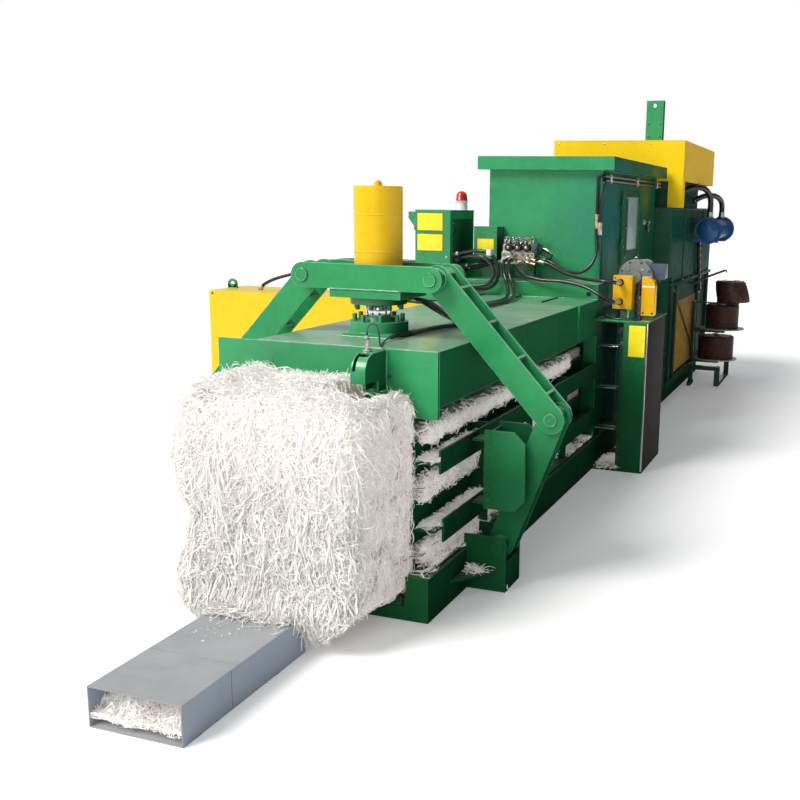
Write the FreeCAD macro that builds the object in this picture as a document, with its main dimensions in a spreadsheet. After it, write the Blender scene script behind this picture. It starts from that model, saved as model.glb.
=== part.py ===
import FreeCAD, Part
import Sketcher
import math
import os

# Horizontal recycling baler, millimetres, +Z up.  The origin lies on the floor, on
# the machine's centre line, below the front face of the top press plate.  +Y runs
# back along the machine, +X is its right side seen from the discharge end.

os.makedirs("parts", exist_ok=True)
doc = FreeCAD.newDocument("baler")
V = FreeCAD.Vector
sheet = doc.addObject("Spreadsheet::Sheet", "dims")
row = [0]
known = {}


def cell(alias, value):
    """One driving dimension: a plain number in the sheet under its own alias."""
    if alias in known:
        return "dims." + alias
    row[0] += 1
    sheet.set("A%d" % row[0], alias.replace("_", " "))
    sheet.set("B%d" % row[0], repr(round(float(value), 4)))
    sheet.setAlias("B%d" % row[0], alias)
    known[alias] = float(value)
    return "dims." + alias


def box(name, x0, x1, y0, y1, z0, z1):
    o = doc.addObject("Part::Box", name)
    for prop, key, v in (("Length", "length", x1 - x0), ("Width", "width", y1 - y0), ("Height", "height", z1 - z0)):
        o.setExpression(prop, cell(name + "_" + key, v))
    for ax, v in (("x", x0), ("y", y0), ("z", z0)):
        o.setExpression("Placement.Base." + ax, cell(name + "_at_" + ax, v))
    return o


AX = {"X": (V(0, 1, 0), 90), "Y": (V(1, 0, 0), -90), "Z": (V(0, 0, 1), 0)}


def cyl(name, axis, at, r, length):
    o = doc.addObject("Part::Cylinder", name)
    o.setExpression("Radius", cell(name + "_radius", r))
    o.setExpression("Height", cell(name + "_length", length))
    a, d = AX[axis]
    o.Placement = FreeCAD.Placement(V(*at), FreeCAD.Rotation(a, d))
    return o


def origin_plane(body, role):
    return [f for f in body.Origin.OriginFeatures if f.Role == role][0]


def body_sketch(name, role, offset):
    body = doc.addObject("PartDesign::Body", name)
    sk = body.newObject("Sketcher::SketchObject", name + "_outline")
    sk.AttachmentSupport = [(origin_plane(body, role), "")]
    sk.MapMode = "FlatFace"
    sk.AttachmentOffset = FreeCAD.Placement(V(0, 0, offset), FreeCAD.Rotation())
    return body, sk


def lines(sk, pts):
    n0 = sk.GeometryCount
    n = len(pts)
    for i in range(n):
        a, b = pts[i], pts[(i + 1) % n]
        sk.addGeometry(Part.LineSegment(V(a[0], a[1], 0), V(b[0], b[1], 0)), False)
    for i in range(n):
        sk.addConstraint(Sketcher.Constraint("Coincident", n0 + i, 2, n0 + (i + 1) % n, 1))


# a flat plate cut to an outline and padded; plane gives the two outline axes
def plate(name, plane, pts, lo, hi, holes=()):
    role = {"XZ": "XZ_Plane", "YZ": "YZ_Plane", "XY": "XY_Plane"}[plane]
    body, sk = body_sketch(name, role, -hi if plane == "XZ" else lo)
    lines(sk, pts)
    for (hx, hz, hr) in holes:
        sk.addGeometry(Part.Circle(V(hx, hz, 0), V(0, 0, 1), hr), False)
    pad = body.newObject("PartDesign::Pad", name + "_pad")
    pad.Profile = sk
    pad.setExpression("Length", cell(name + "_thickness", hi - lo))
    body.Tip = pad
    return body


# a link plate with two round ends, in the X-Z plane
def link(name, p, q, w, lo, hi, holes=()):
    body, sk = body_sketch(name, "XZ_Plane", -hi)
    a = math.atan2(q[1] - p[1], q[0] - p[0])
    nx, nz = -math.sin(a) * w, math.cos(a) * w
    P = lambda c, s: V(c[0] + s * nx, c[1] + s * nz, 0)
    sk.addGeometry(Part.LineSegment(P(q, 1), P(p, 1)), False)
    sk.addGeometry(Part.ArcOfCircle(Part.Circle(V(p[0], p[1], 0), V(0, 0, 1), w), a + math.pi / 2, a + 3 * math.pi / 2), False)
    sk.addGeometry(Part.LineSegment(P(p, -1), P(q, -1)), False)
    sk.addGeometry(Part.ArcOfCircle(Part.Circle(V(q[0], q[1], 0), V(0, 0, 1), w), a - math.pi / 2, a + math.pi / 2), False)
    for (hx, hz, hr) in holes:
        sk.addGeometry(Part.Circle(V(hx, hz, 0), V(0, 0, 1), hr), False)
    pad = body.newObject("PartDesign::Pad", name + "_pad")
    pad.Profile = sk
    pad.setExpression("Length", cell(name + "_thickness", hi - lo))
    body.Tip = pad
    return body


# a turned piece: outline of (radius, height) points about its own upright axis
def turned(name, pts, at=(0, 0, 0), axis="Z"):
    body, sk = body_sketch(name, "XZ_Plane", 0)
    lines(sk, pts)
    rev = body.newObject("PartDesign::Revolution", name + "_turn")
    rev.Profile = sk
    rev.ReferenceAxis = (sk, ["V_Axis"])
    rev.Angle = 360.0
    body.Tip = rev
    a, d = AX[axis]
    body.Placement = FreeCAD.Placement(V(*at), FreeCAD.Rotation(a, d))
    return body


NODES = []


def fuse(name, parts):
    if len(parts) == 1:
        o = parts[0]
    else:
        o = doc.addObject("Part::MultiFuse", name + "_weldment")
        o.Shapes = parts
        o.Refine = True
    return o


def cut(name, base, tools):
    t = tools[0] if len(tools) == 1 else fuse(name + "_tool", tools)
    o = doc.addObject("Part::Cut", name + "_cut")
    o.Base = base
    o.Tool = t
    return o


def group(name, parts):
    o = doc.addObject("Part::Compound", name + "_set")
    o.Links = parts
    return o


def node(label, obj):
    obj.Label = label
    NODES.append((label, obj))
    return obj


def hollow(name, x0, x1, y0, y1, z0, z1, t, open_faces=""):
    """Sheet-metal box of wall t; open_faces names the open sides, such as 'z-' or 'y-y+'."""
    e = 5.0
    ix0 = x0 + t if "x-" not in open_faces else x0 - e
    ix1 = x1 - t if "x+" not in open_faces else x1 + e
    iy0 = y0 + t if "y-" not in open_faces else y0 - e
    iy1 = y1 - t if "y+" not in open_faces else y1 + e
    iz0 = z0 + t if "z-" not in open_faces else z0 - e
    iz1 = z1 - t if "z+" not in open_faces else z1 + e
    return cut(name, box(name + "_outer", x0, x1, y0, y1, z0, z1), [box(name + "_inner", ix0, ix1, iy0, iy1, iz0, iz1)])


# a round hose or pipe: straight runs joined by tangent arcs, each as large as its runs allow
RADII = []


def tube(name, pts, r, fixed=None):
    cell(name + "_radius", r)
    P = [V(*p) for p in pts]
    edges = []
    last = P[0]
    for i in range(1, len(P) - 1):
        a, b, c = P[i - 1], P[i], P[i + 1]
        u, w = (b - a), (c - b)
        la, lc = u.Length, w.Length
        u = u / la
        w = w / lc
        turn = math.acos(max(-1, min(1, u.dot(w))))
        rad = fixed if fixed else 0.45 * min(la, lc) / math.tan(turn / 2)
        tl = rad * math.tan(turn / 2)
        s, e = b - u * tl, b + w * tl
        bis = (w - u)
        bis = bis / bis.Length
        cen = b + bis * (rad / math.cos(turn / 2))
        mid = cen - bis * rad
        edges.append(Part.LineSegment(last, s).toShape())
        edges.append(Part.Arc(s, mid, e).toShape())
        RADII.append((name, round(rad)))
        last = e
    edges.append(Part.LineSegment(last, P[-1]).toShape())
    path = Part.Wire(edges)
    d = (P[1] - P[0])
    prof = Part.Wire([Part.makeCircle(known[name + "_radius"], P[0], d)])
    sh = path.makePipeShell([prof], True, False)
    vol = math.pi * r * r * path.Length
    if not sh.Solids or abs(sh.Volume - vol) > 0.02 * vol:
        raise RuntimeError("hose %s volume %.0f, expected %.0f" % (name, sh.Volume, vol))
    o = doc.addObject("Part::Feature", name)
    o.Shape = sh
    print("tube", name, "length", round(path.Length), "mm, least radius", min([q for n_, q in RADII if n_ == name] or [0]))
    return o


# ------------------------------------------------------------------ base and chamber
HW = 600.0          # inner half width between the side beams
base = [box("floor_plate", -HW, HW, -208, 11100, 70, 90)]
for k in range(11):
    y = -208 + k * 1120.8
    base.append(box("cross_member_%d" % k, -HW, HW, y, y + 100, 0, 70))
base.append(box("cross_member_front", -HW, HW, -50, 50, 0, 70))
for s, n in ((1, "right"), (-1, "left")):
    x0, x1 = (HW, 763) if s > 0 else (-763, -HW)
    base.append(hollow("side_beam_" + n, x0, x1, -208, 11100, 0, 300, 12, "y+"))
node("base_frame", fuse("base_frame", base))


def rails(n, s):
    X = lambda a, b: (a, b) if s > 0 else (-b, -a)
    ps = []
    ps.append(box("rail_top_strip_" + n, *X(575, 590), -60, 4174, 930, 1165))
    ps.append(box("rail_top_web_" + n, *X(590, 720), 0, 4174, 1005, 1020))
    ps.append(box("rail_top_flange_" + n, *X(720, 735), 60, 4174, 935, 1095))
    ps.append(box("rail_mid_strip_" + n, *X(575, 590), -60, 4174, 470, 753))
    ps.append(box("rail_mid_web_" + n, *X(590, 720), 0, 4174, 545, 560))
    ps.append(box("rail_mid_flange_" + n, *X(720, 735), 120, 4174, 450, 610))
    ps.append(box("rail_low_strip_" + n, *X(575, 590), -60, 4174, 92, 335))
    ps.append(box("rail_low_web_" + n, *X(590, 735), 0, 4174, 300, 315))
    for i, y in enumerate((1000, 2080, 3160, 4150)):
        ps.append(box("rail_tie_%s_%d" % (n, i), *X(590, 720), y, y + 20, 315, 1100))
    return fuse("side_rails_" + n, ps)


node("side_rails_right", rails("right", 1))
node("side_rails_left", rails("left", -1))

# ------------------------------------------------------------------ squeeze linkage
PIN = 45.0
YP = (490.0, 2171.0)      # yoke pin
EL = (1332.0, 1257.0)     # elbow pin
LP = (982.0, 326.0)       # lower pivot


def mir(pts, s):
    return [(s * p[0],) + tuple(p[1:]) for p in pts]


for s, n in ((1, "right"), (-1, "left")):
    yp, el, lp = (s * YP[0], YP[1]), (s * EL[0], EL[1]), (s * LP[0], LP[1])
    # bracket on the floor carrying the lower pivot
    out = mir([(763, 0), (1050, 0), (1050, 398), (737, 398), (737, 316), (763, 316)], s)
    pf = plate("bracket_front_" + n, "XZ", out, 490, 510)
    pb = plate("bracket_back_" + n, "XZ", out, 790, 810)
    pn = cyl("lever_pin_" + n, "Y", (lp[0], 480, lp[1]), PIN, 340)
    X = lambda a, b: (a, b) if s > 0 else (-b, -a)
    bb = box("bracket_foot_" + n, *X(763, 1050), 510, 790, 0, 20)
    be = box("bracket_end_" + n, *X(1038, 1050), 510, 790, 20, 215)
    gs = plate("bracket_gusset_" + n, "XY", mir([(763, 170), (990, 490), (763, 490)], s), 142, 158)
    gb = plate("bracket_gusset_back_" + n, "XY", mir([(763, 1040), (763, 810), (1000, 810)], s), 142, 158)
    node("lever_bracket_" + n, fuse("lever_bracket_" + n, [pf, pb, bb, be, gs, gb, pn]))
    # chamfered guide plates either side of the lever, tied by a strip
    gout = mir([(880, 1160), (1095, 1160), (1175, 1083), (1181, 678), (1105, 600), (880, 600)], s)
    g1 = plate("guide_front_" + n, "XZ", gout, 486, 506)
    g2 = plate("guide_back_" + n, "XZ", gout, 800, 820)
    g3 = box("guide_strip_" + n, *X(880, 900), 506, 800, 620, 1130)
    g4 = box("guide_bead_" + n, *X(884, 916), 478, 486, 600, 1160)
    g5 = [box("guide_tie_%s_%d" % (n, i), *X(735, 885), 640, 800, z, z + 15) for i, z in enumerate((580, 1040))]
    node("guide_plates_" + n, fuse("guide_plates_" + n, [g1, g2, g3, g4] + g5))
    # upper arm: two plates, a boss tube at the yoke pin and cross ribs
    d = (el[0] - yp[0], el[1] - yp[1])
    L = math.hypot(*d)
    u = (d[0] / L, d[1] / L)
    hole = [(yp[0], yp[1], 66.0), (el[0], el[1], PIN)]
    a1 = link("arm_front_" + n, yp, el, 96, 540, 560, hole)
    a2 = link("arm_back_" + n, yp, el, 96, 740, 760, hole)
    boss = cut("arm_boss_" + n, cyl("arm_boss_outer_" + n, "Y", (yp[0], 460, yp[1]), 70, 380),
               [cyl("arm_boss_bore_" + n, "Y", (yp[0], 450, yp[1]), PIN + 0.1, 400)])
    ribs = []
    for i, t in enumerate((150, 460, 775, 1085)):
        rb = doc.addObject("Part::Box", "arm_rib_%s_%d" % (n, i))
        rb.setExpression("Length", cell("arm_rib_thickness", 16))
        rb.setExpression("Width", cell("arm_rib_depth", 180))
        rb.setExpression("Height", cell("arm_rib_height", 176))
        ang = math.degrees(math.atan2(-u[1], u[0]))
        rot = FreeCAD.Rotation(V(0, 1, 0), ang)
        cpt = V(yp[0] + u[0] * t, 560, yp[1] + u[1] * t)
        rb.Placement = FreeCAD.Placement(cpt - rot.multVec(V(8, 0, 88)), rot)
        ribs.append(rb)
    node("arm_" + n, fuse("arm_" + n, [a1, a2, boss] + ribs))
    # lower lever: two plates, bosses at both ends
    d = (el[0] - lp[0], el[1] - lp[1])
    L2 = math.hypot(*d)
    u2 = (d[0] / L2, d[1] / L2)
    h2 = [(lp[0], lp[1], 66.0), (el[0], el[1], 66.0)]
    l1 = link("lever_front_" + n, lp, el, 95, 570, 590, h2)
    l2 = link("lever_back_" + n, lp, el, 95, 710, 730, h2)
    b1 = cut("lever_low_boss_" + n, cyl("lever_low_boss_outer_" + n, "Y", (lp[0], 514, lp[1]), 70, 272),
             [cyl("lever_low_boss_bore_" + n, "Y", (lp[0], 500, lp[1]), PIN + 0.1, 300)])
    b2 = cut("lever_top_boss_" + n, cyl("lever_top_boss_outer_" + n, "Y", (el[0], 570, el[1]), 70, 160),
             [cyl("lever_top_boss_bore_" + n, "Y", (el[0], 560, el[1]), PIN + 5.0, 180)])
    r2 = []
    for i, t in enumerate((250, 500, 750)):
        rb = doc.addObject("Part::Box", "lever_rib_%s_%d" % (n, i))
        rb.setExpression("Length", cell("lever_rib_thickness", 16))
        rb.setExpression("Width", cell("lever_rib_depth", 120))
        rb.setExpression("Height", cell("lever_rib_height", 170))
        ang = math.degrees(math.atan2(-u2[1], u2[0]))
        rot = FreeCAD.Rotation(V(0, 1, 0), ang)
        cpt = V(lp[0] + u2[0] * t, 590, lp[1] + u2[1] * t)
        rb.Placement = FreeCAD.Placement(cpt - rot.multVec(V(8, 0, 85)), rot)
        r2.append(rb)
    node("lever_" + n, fuse("lever_" + n, [l1, l2, b1, b2] + r2))
    # elbow pin, tight in the arm, with clearance in the lever's boss
    node("elbow_pin_" + n, cyl("elbow_pin_solid_" + n, "Y", (el[0], 530, el[1]), PIN, 240))

node("yoke_pins", group("yoke_pins", [cyl("yoke_pin_right", "Y", (YP[0], 417, YP[1]), PIN, 466),
                                      cyl("yoke_pin_left", "Y", (-YP[0], 417, YP[1]), PIN, 466)]))

# yoke: two long link plates over a thick seat plate
yh = [(YP[0], YP[1], PIN), (-YP[0], YP[1], PIN)]
y1 = link("yoke_front", (-YP[0], YP[1]), YP, 88, 427, 457, yh)
y2 = link("yoke_back", (-YP[0], YP[1]), YP, 88, 843, 873, yh)
seat = cut("yoke_seat", box("yoke_seat_plate", -272, 272, 427, 873, 2025, 2083), [cyl("yoke_seat_hole", "Z", (0, 650, 2000), 131, 120)])
node("yoke", fuse("yoke", [y1, y2, seat]))

# press cylinder: barrel, neck through the seat, round flange below
node("press_cylinder", turned("press_barrel", [(97, 1975), (200, 1975), (200, 2025), (130, 2025), (130, 2083), (171, 2083),
                                               (171, 2335), (173, 2337), (173, 2345), (171, 2347), (171, 2590), (173, 2592), (173, 2600), (171, 2602),
                                               (171, 2786), (166, 2791), (26, 2791), (26, 2819), (0, 2819), (0, 2740), (140, 2740), (140, 2095), (97, 2095)],
                              at=(0, 650, 0)))
node("press_rod", fuse("press_rod_all", [turned("press_rod_turned", [(0, 1776), (212, 1776), (212, 1852), (130, 1852), (118, 1884), (90, 1884), (90, 2380), (0, 2380)], at=(0, 650, 0)),
                                         box("press_rod_base", -186, 186, 436, 864, 1750, 1776)]))
up, lo = [], []
for i in range(8):
    a = math.radians(45 * i + 8)
    up.append(cyl("upper_screw_%d" % i, "Z", (167 * math.cos(a), 650 + 167 * math.sin(a), 1937), 17, 38))
    a = math.radians(45 * i + 30.5)
    lo.append(cyl("lower_screw_%d" % i, "Z", (170 * math.cos(a), 650 + 170 * math.sin(a), 1852), 17, 50))
node("flange_screws_upper", group("flange_screws_upper", up))
node("flange_screws_lower", group("flange_screws_lower", lo))

# top press plate: hollow box with a wide front panel, hinged at its rear
tp = [hollow("press_box", -618, 735, 20, 3400, 1386, 1750, 14),
      box("press_front_panel", -903, 735, 0, 20, 1310, 1750),
      plate("press_wing_gusset", "XY", [(-903, 20), (-618, 20), (-618, 220)], 1700, 1714),
      box("press_hinge_lug_right", 560, 640, 3400, 3450, 1470, 1650),
      box("press_hinge_lug_left", -600, -520, 3400, 3450, 1470, 1650)]
for i, y in enumerate((650, 1700, 2700)):
    tp.append(box("press_rib_%d" % i, -604, 721, y, y + 14, 1400, 1736))
tpf = fuse("top_press_plate_raw", tp)
tpc = cut("press_hinge_eye", tpf, [cyl("press_hinge_hole", "X", (-700, 3425, 1560), 15.1, 1500)])
node("top_press_plate", tpc)

# sensor bracket on the front panel: two rounded cheeks under a shelf, a bent cover strip and a slim sensor
cheek = [(0, 1745), (-190, 1745), (-240, 1728), (-278, 1690), (-297, 1640), (-297, 1562), (-112, 1562), (-112, 1490), (0, 1490)]
sb = [plate("sensor_cheek_right", "YZ", cheek, 358, 370), plate("sensor_cheek_left", "YZ", cheek, 268, 278),
      box("sensor_front_strip", 278, 358, -297, -287, 1562, 1640), box("sensor_back_plate", 278, 358, -10, 0, 1490, 1745),
      plate("sensor_cover_strip", "YZ", [(-297, 1640), (-287, 1640), (-269, 1686), (-234, 1720), (-240, 1728), (-278, 1690)], 300, 358),
      box("sensor_shelf", 278, 358, -190, 0, 1735, 1745), cyl("sensor_stem", "Z", (300, -130, 1728), 15, 122), cyl("sensor_nut", "Z", (300, -130, 1745), 26, 14)]
cable = tube("sensor_cable", [(300, -130, 1850), (300, -130, 1888), (313, -120, 1920), (338, -100, 1925), (356, -80, 1893), (352, -56, 1838), (338, -25, 1785), (318, 30, 1760), (285, 105, 1758.5),
                              (252, 190, 1758.5), (232, 270, 1762), (223, 350, 1774), (222, 423, 1784)], 7)
conduit = tube("sensor_conduit", [(222, 424, 1784), (225, 540, 1772), (230, 680, 1768), (236, 840, 1768), (250, 1010, 1768), (295, 1190, 1768), (370, 1400, 1768), (400, 1640, 1768), (390, 1900, 1768)], 17)
node("sensor_bracket", group("sensor_bracket", [fuse("sensor_bracket_frame", sb), cable, conduit]))

# ------------------------------------------------------------------ portal, feed chamber, hopper
pt = []
for s, n in ((1, "right"), (-1, "left")):
    X = (600, 735) if s > 0 else (-735, -600)
    post = hollow("portal_post_" + n, X[0], X[1], 4174, 4394, 300, 1720, 14, "")
    pt.append(cut("portal_post_holed_" + n, post, [cyl("needle_hole_%s_%d" % (n, i), "X", (X[0] - 20, 4284, z), 32, 180) for i, z in enumerate((415, 841, 1272))]))
pt.append(hollow("portal_beam", -735, 735, 4174, 4621, 1710, 1900, 14, "y+"))
pt.append(hollow("portal_roof", -735, 735, 3470, 4174, 1386, 1745, 14, "y+"))
for s, n in ((1, "right"), (-1, "left")):
    for k, (a, b) in enumerate(((500, 556), (644, 700))):
        if s < 0:
            a, b = ((-516, -460) if k == 0 else (-660, -604))
        pt.append(plate("portal_lug_%s_%d" % (n, k), "YZ", [(3470, 1480), (3470, 1640), (3405, 1590), (3405, 1530)], a, b))
# pins fixed in the lugs, on which the press plate turns
pt.append(cyl("hinge_pin_right", "X", (500, 3425, 1560), 15, 200))
pt.append(cyl("hinge_pin_left", "X", (-660, 3425, 1560), 15, 200))
node("portal_frame", fuse("portal_frame", pt))

fc = []
for s, n in ((1, "right"), (-1, "left")):
    X = lambda a, b: (a, b) if s > 0 else (-b, -a)
    fc.append(box("feed_wall_" + n, *X(600, 616), 4394, 7525, 300, 1560))
    fc.append(box("feed_top_flange_" + n, *X(616, 760), 4621, 7525, 1540, 1560))
    for i in range(4):
        y = 5100 + i * 780
        fc.append(box("feed_rib_%s_%d" % (n, i), *X(616, 740), y, y + 16, 300, 1540))
fc.append(box("feed_roof", -600, 600, 4394, 4621, 1540, 1560))
node("feed_chamber", fuse("feed_chamber", fc))

hp = hollow("hopper_body", -617, 627, 4621, 7500, 1560, 3057, 10, "z-z+")
hr = hollow("hopper_rim", -732, 766, 4537, 7525, 3057, 3185, 10, "z-z+")
hl = cut("hopper_ledge", box("hopper_ledge_plate", -732, 766, 4537, 7525, 3047, 3057), [box("hopper_ledge_hole", -607, 617, 4631, 7490, 3040, 3070)])
hop = cut("hopper_door_opening", fuse("hopper_shell", [hp, hr, hl]), [box("hopper_door_hole", 600, 650, 5640, 6960, 2090, 2790)])
# hinge eyes for the access door, welded to the side
eyes = [cut("door_eye_%d" % i, box("door_eye_block_%d" % i, 627, 668, 5522, 5562, z, z + 60), [cyl("door_eye_bore_%d" % i, "Z", (648, 5542, z - 5), 12.1, 70)]) for i, z in enumerate((2200, 2640))]
node("hopper", fuse("hopper", [hop] + eyes))
dr = [cut("door_frame", box("door_plate", 629, 641, 5574, 7030, 2030, 2850), [box("door_window_hole", 620, 650, 5816, 6400, 2180, 2790)]),
      box("door_stile", 641, 655, 6440, 6470, 2030, 2850),
      box("door_stop_front", 641, 655, 5574, 5604, 2030, 2850)]
for i, z in enumerate((2262, 2702)):
    dr.append(cyl("door_knuckle_%d" % i, "Z", (648, 5542, z), 18, 60))
    dr.append(box("door_strap_%d" % i, 641, 653, 5542, 5650, z + 5, z + 55))
    dr.append(cyl("door_hinge_pin_%d" % i, "Z", (648, 5542, z - 60), 12, 60))
node("access_door", fuse("access_door", dr))
node("door_handle", fuse("door_handle", [cyl("door_handle_hub", "X", (641, 6927, 2499), 26, 40), box("door_handle_grip", 661, 681, 6915, 6939, 2380, 2500)]))

# steel pipes up the hopper's front corner and along its right side, with clamps
pa = tube("pipe_a", [(585, 4596, 2470), (585, 4596, 2990), (652, 4596, 2990), (652, 7720, 2990)], 15, fixed=28)
pb = tube("pipe_b", [(622, 4596, 2390), (622, 4596, 2700), (652, 4596, 2840), (652, 4596, 2945), (652, 7720, 2945)], 15)
clamps = []
for i, y in enumerate((4850, 6200, 7430)):
    clamps.append(cut("pipe_clamp_%d" % i, box("pipe_clamp_block_%d" % i, 627, 672, y, y + 40, 2922, 3013),
                      [cyl("pipe_clamp_bore_a_%d" % i, "Y", (652, y - 5, 2990), 15.2, 50), cyl("pipe_clamp_bore_b_%d" % i, "Y", (652, y - 5, 2945), 15.2, 50)]))
node("hopper_pipes", group("hopper_pipes", [pa, pb] + clamps))

# ------------------------------------------------------------------ rear: housing, tank, ram
rh = cut("rear_shell", box("rear_outer", -860, 860, 7525, 11240, 300, 2680),
         [box("rear_inner", -848, 848, 7537, 11228, 290, 2668), box("rear_tunnel", -590, 590, 7500, 7600, 280, 1400)])
node("rear_housing", fuse("rear_housing", [rh, hollow("oil_tank_shell", -781, 760, 7720, 10300, 2680, 3200, 10, "")]))
rc = fuse("rear_cover", [hollow("rear_cover_shell", -791, 969, 7598, 10377, 3020, 3539, 10, "z-"),
                         hollow("rear_cover_leg", 775, 969, 7598, 7760, 2682, 3020, 10, "z-z+")])
node("rear_cover", rc)
mast = cut("mast_channel", box("mast_outer", 362, 590, 8000, 8110, 3539, 4076), [box("mast_inner", 374, 578, 8012, 8130, 3530, 4100), cyl("mast_eye", "Y", (476, 7990, 4010), 26, 60)])
node("mast", mast)
node("main_cylinder", fuse("main_cylinder", [
    turned("main_barrel", [(101, 0), (170, 0), (170, 3390), (0, 3390), (0, 3350), (101, 3350)], at=(0, 7760, 735), axis="Y"),
    cut("main_foot_a", box("main_foot_block_a", -280, 280, 8100, 8160, 90, 1000), [cyl("main_foot_hole_a", "Y", (0, 8080, 735), 169, 100)]),
    cut("main_foot_b", box("main_foot_block_b", -280, 280, 10700, 10760, 90, 1000), [cyl("main_foot_hole_b", "Y", (0, 10680, 735), 169, 100)])]))
node("ram_platen", hollow("ram_platen_shell", -565, 565, 7560, 7700, 100, 1370, 20, ""))
node("ram_rod", cyl("ram_rod_bar", "Y", (0, 7700, 735), 100, 3380))

# oil cooler: flanged shell with domed ends on two saddles
dome = [(0, -70), (60, -64), (110, -46), (150, -18), (158, 0), (190, 0), (190, 36), (142, 36), (142, 1464), (190, 1464), (190, 1500), (158, 1500),
        (150, 1518), (110, 1546), (60, 1564), (0, 1570)]
node("oil_cooler", fuse("oil_cooler", [turned("cooler_shell", dome, at=(1130, 9000, 2370), axis="Y"),
                                       box("cooler_saddle_a", 860, 1240, 9300, 9340, 2190, 2240),
                                       box("cooler_saddle_b", 860, 1240, 10160, 10200, 2190, 2240),
                                       cyl("cooler_port_a", "Z", (1130, 9110, 2490), 45, 60),
                                       cyl("cooler_port_b", "Z", (1130, 10390, 2490), 45, 60)]))
# ------------------------------------------------------------------ wire-tying station
tw = [box("post_front", 1037, 1268, 4070, 4086, 20, 1543), box("post_side", 1268, 1280, 4070, 5008, 20, 1543),
      box("post_back", 1037, 1268, 4992, 5008, 20, 1543), box("post_foot", 763, 1280, 4070, 5008, 0, 20)]
node("twister_post", fuse("twister_post", tw))
node("twister_shelf", fuse("twister_shelf", [box("shelf_plate", 762, 1290, 4080, 5061, 1543, 1559), box("shelf_tab", 735, 762, 4080, 4610, 1543, 1559), box("motor_pedestal", 960, 1150, 4500, 4700, 1559, 1826)]))
node("twister_bar", fuse("twister_bar", [box("twister_bar_plate", 975, 1035, 4200, 4360, 20, 1543)] +
                         [cyl("bar_bolt_%d" % i, "Y", (1005, 4184, 140 + 190 * i), 14, 16) for i in range(8)]))
gr = []
for i, z in enumerate((415, 841, 1272)):
    for j, y in enumerate((4220, 4348)):
        gr.append(cyl("guide_rod_%d_%d" % (i, j), "X", (735, y, z), 11, 240))
node("guide_rods", group("guide_rods", gr))
ts = [cyl("shaft_core", "Z", (1150, 4500, 30), 28, 1500)]
for i, z in enumerate((380, 806, 1237)):
    ts.append(cyl("shaft_gear_%d" % i, "Z", (1150, 4500, z), 80, 60))
    ts.append(box("shaft_hook_%d" % i, 1140, 1160, 4390, 4500, z + 15, z + 45))
node("twister_shaft", fuse("twister_shaft", ts))
node("twister_motor", fuse("twister_motor", [turned("motor_body", [(0, 0), (70, 0), (70, 30), (178, 30), (178, 90), (150, 96), (150, 330), (165, 336), (165, 370), (120, 380), (0, 380)], at=(1055, 4400, 1978), axis="Y"),
                                             box("motor_box", 1200, 1350, 4500, 4660, 1960, 2110)]))
dc = [box("drive_cover_plate", 886, 1081, 4180, 4310, 1667, 2001), box("drive_cover_foot", 900, 940, 4270, 4310, 1559, 1667)]
node("drive_cover_left", fuse("drive_cover_left", dc + [cyl("drive_port_a", "Y", (960, 4140, 1935), 24, 40), cyl("drive_port_b", "Y", (960, 4140, 1740), 24, 40)]))
rcv = plate("drive_cover_outline", "XZ", [(1158, 1600), (1292, 1600), (1292, 1905), (1280, 1948), (1250, 1976), (1200, 1988), (1158, 1988)], 4285, 4396)
node("drive_cover_right", fuse("drive_cover_right_all", [rcv, box("drive_cover_right_foot", 1180, 1280, 4310, 4380, 1559, 1600)]))

# needle side: yellow cover, floor frame with tracks, carriage and needles
ncv = fuse("needle_cover_all", [hollow("needle_cover_shell", -3918, -763, 4149, 4929, 250, 1641, 8, "z-x+"),
                                cut("needle_cover_eye", cyl("eye_ring", "Y", (-3850, 4520, 1690), 62, 22), [cyl("eye_hole", "Y", (-3850, 4510, 1690), 34, 50)])])
node("needle_cover", ncv)
node("needle_track", fuse("needle_track", [box("track_sill_front", -3918, -763, 4149, 4219, 0, 250), box("track_sill_back", -3918, -763, 4859, 4929, 0, 250),
                                          box("track_tie_a", -3918, -3848, 4219, 4859, 0, 100), box("track_tie_b", -833, -763, 4219, 4859, 0, 100),
                                          box("track_tie_c", -2900, -2830, 4219, 4859, 0, 100), box("track_tie_d", -1870, -1800, 4219, 4859, 0, 100)]))
node("needle_carriage", box("carriage_block", -3760, -3640, 4230, 4840, 260, 1480))
node("needles", group("needles", [cyl("needle_%d" % i, "X", (-3640, 4284, z), 16, 2840) for i, z in enumerate((415, 841, 1272))]))

# ------------------------------------------------------------------ electrics and valves
cb = fuse("cabinet_all", [hollow("cabinet_shell", -1292, -881, 4168, 4830, 1641, 2604, 8, "y-"),
                          plate("cabinet_side_bracket", "XZ", [(-1292, 2590), (-1390, 2590), (-1390, 2520), (-1292, 2400)], 4200, 4212)] +
          [box("cabinet_lug_%d" % i, -1307, -1289, 4158, 4180, z, z + 20) for i, z in enumerate((1738, 2398))] +
          [cyl("cabinet_pin_%d" % i, "Z", (-1297, 4158, z), 5, 124) for i, z in enumerate((1746, 2406))])
node("control_cabinet", cb)
cdr = fuse("cabinet_door_all", [box("cabinet_door_plate", -1288, -885, 4150, 4166, 1660, 2600)] +
           [cyl("cabinet_knuckle_%d" % i, "Z", (-1297, 4158, z), 9, 110) for i, z in enumerate((1760, 2420))] +
           [box("cabinet_strap_%d" % i, -1297, -1270, 4148, 4152, z, z + 110) for i, z in enumerate((1760, 2420))])
cdc = cut("cabinet_door_bored", cdr, [cyl("cabinet_bore_%d" % i, "Z", (-1297, 4158, z - 5), 5.05, 120) for i, z in enumerate((1760, 2420))])
node("cabinet_door", cdc)
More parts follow.
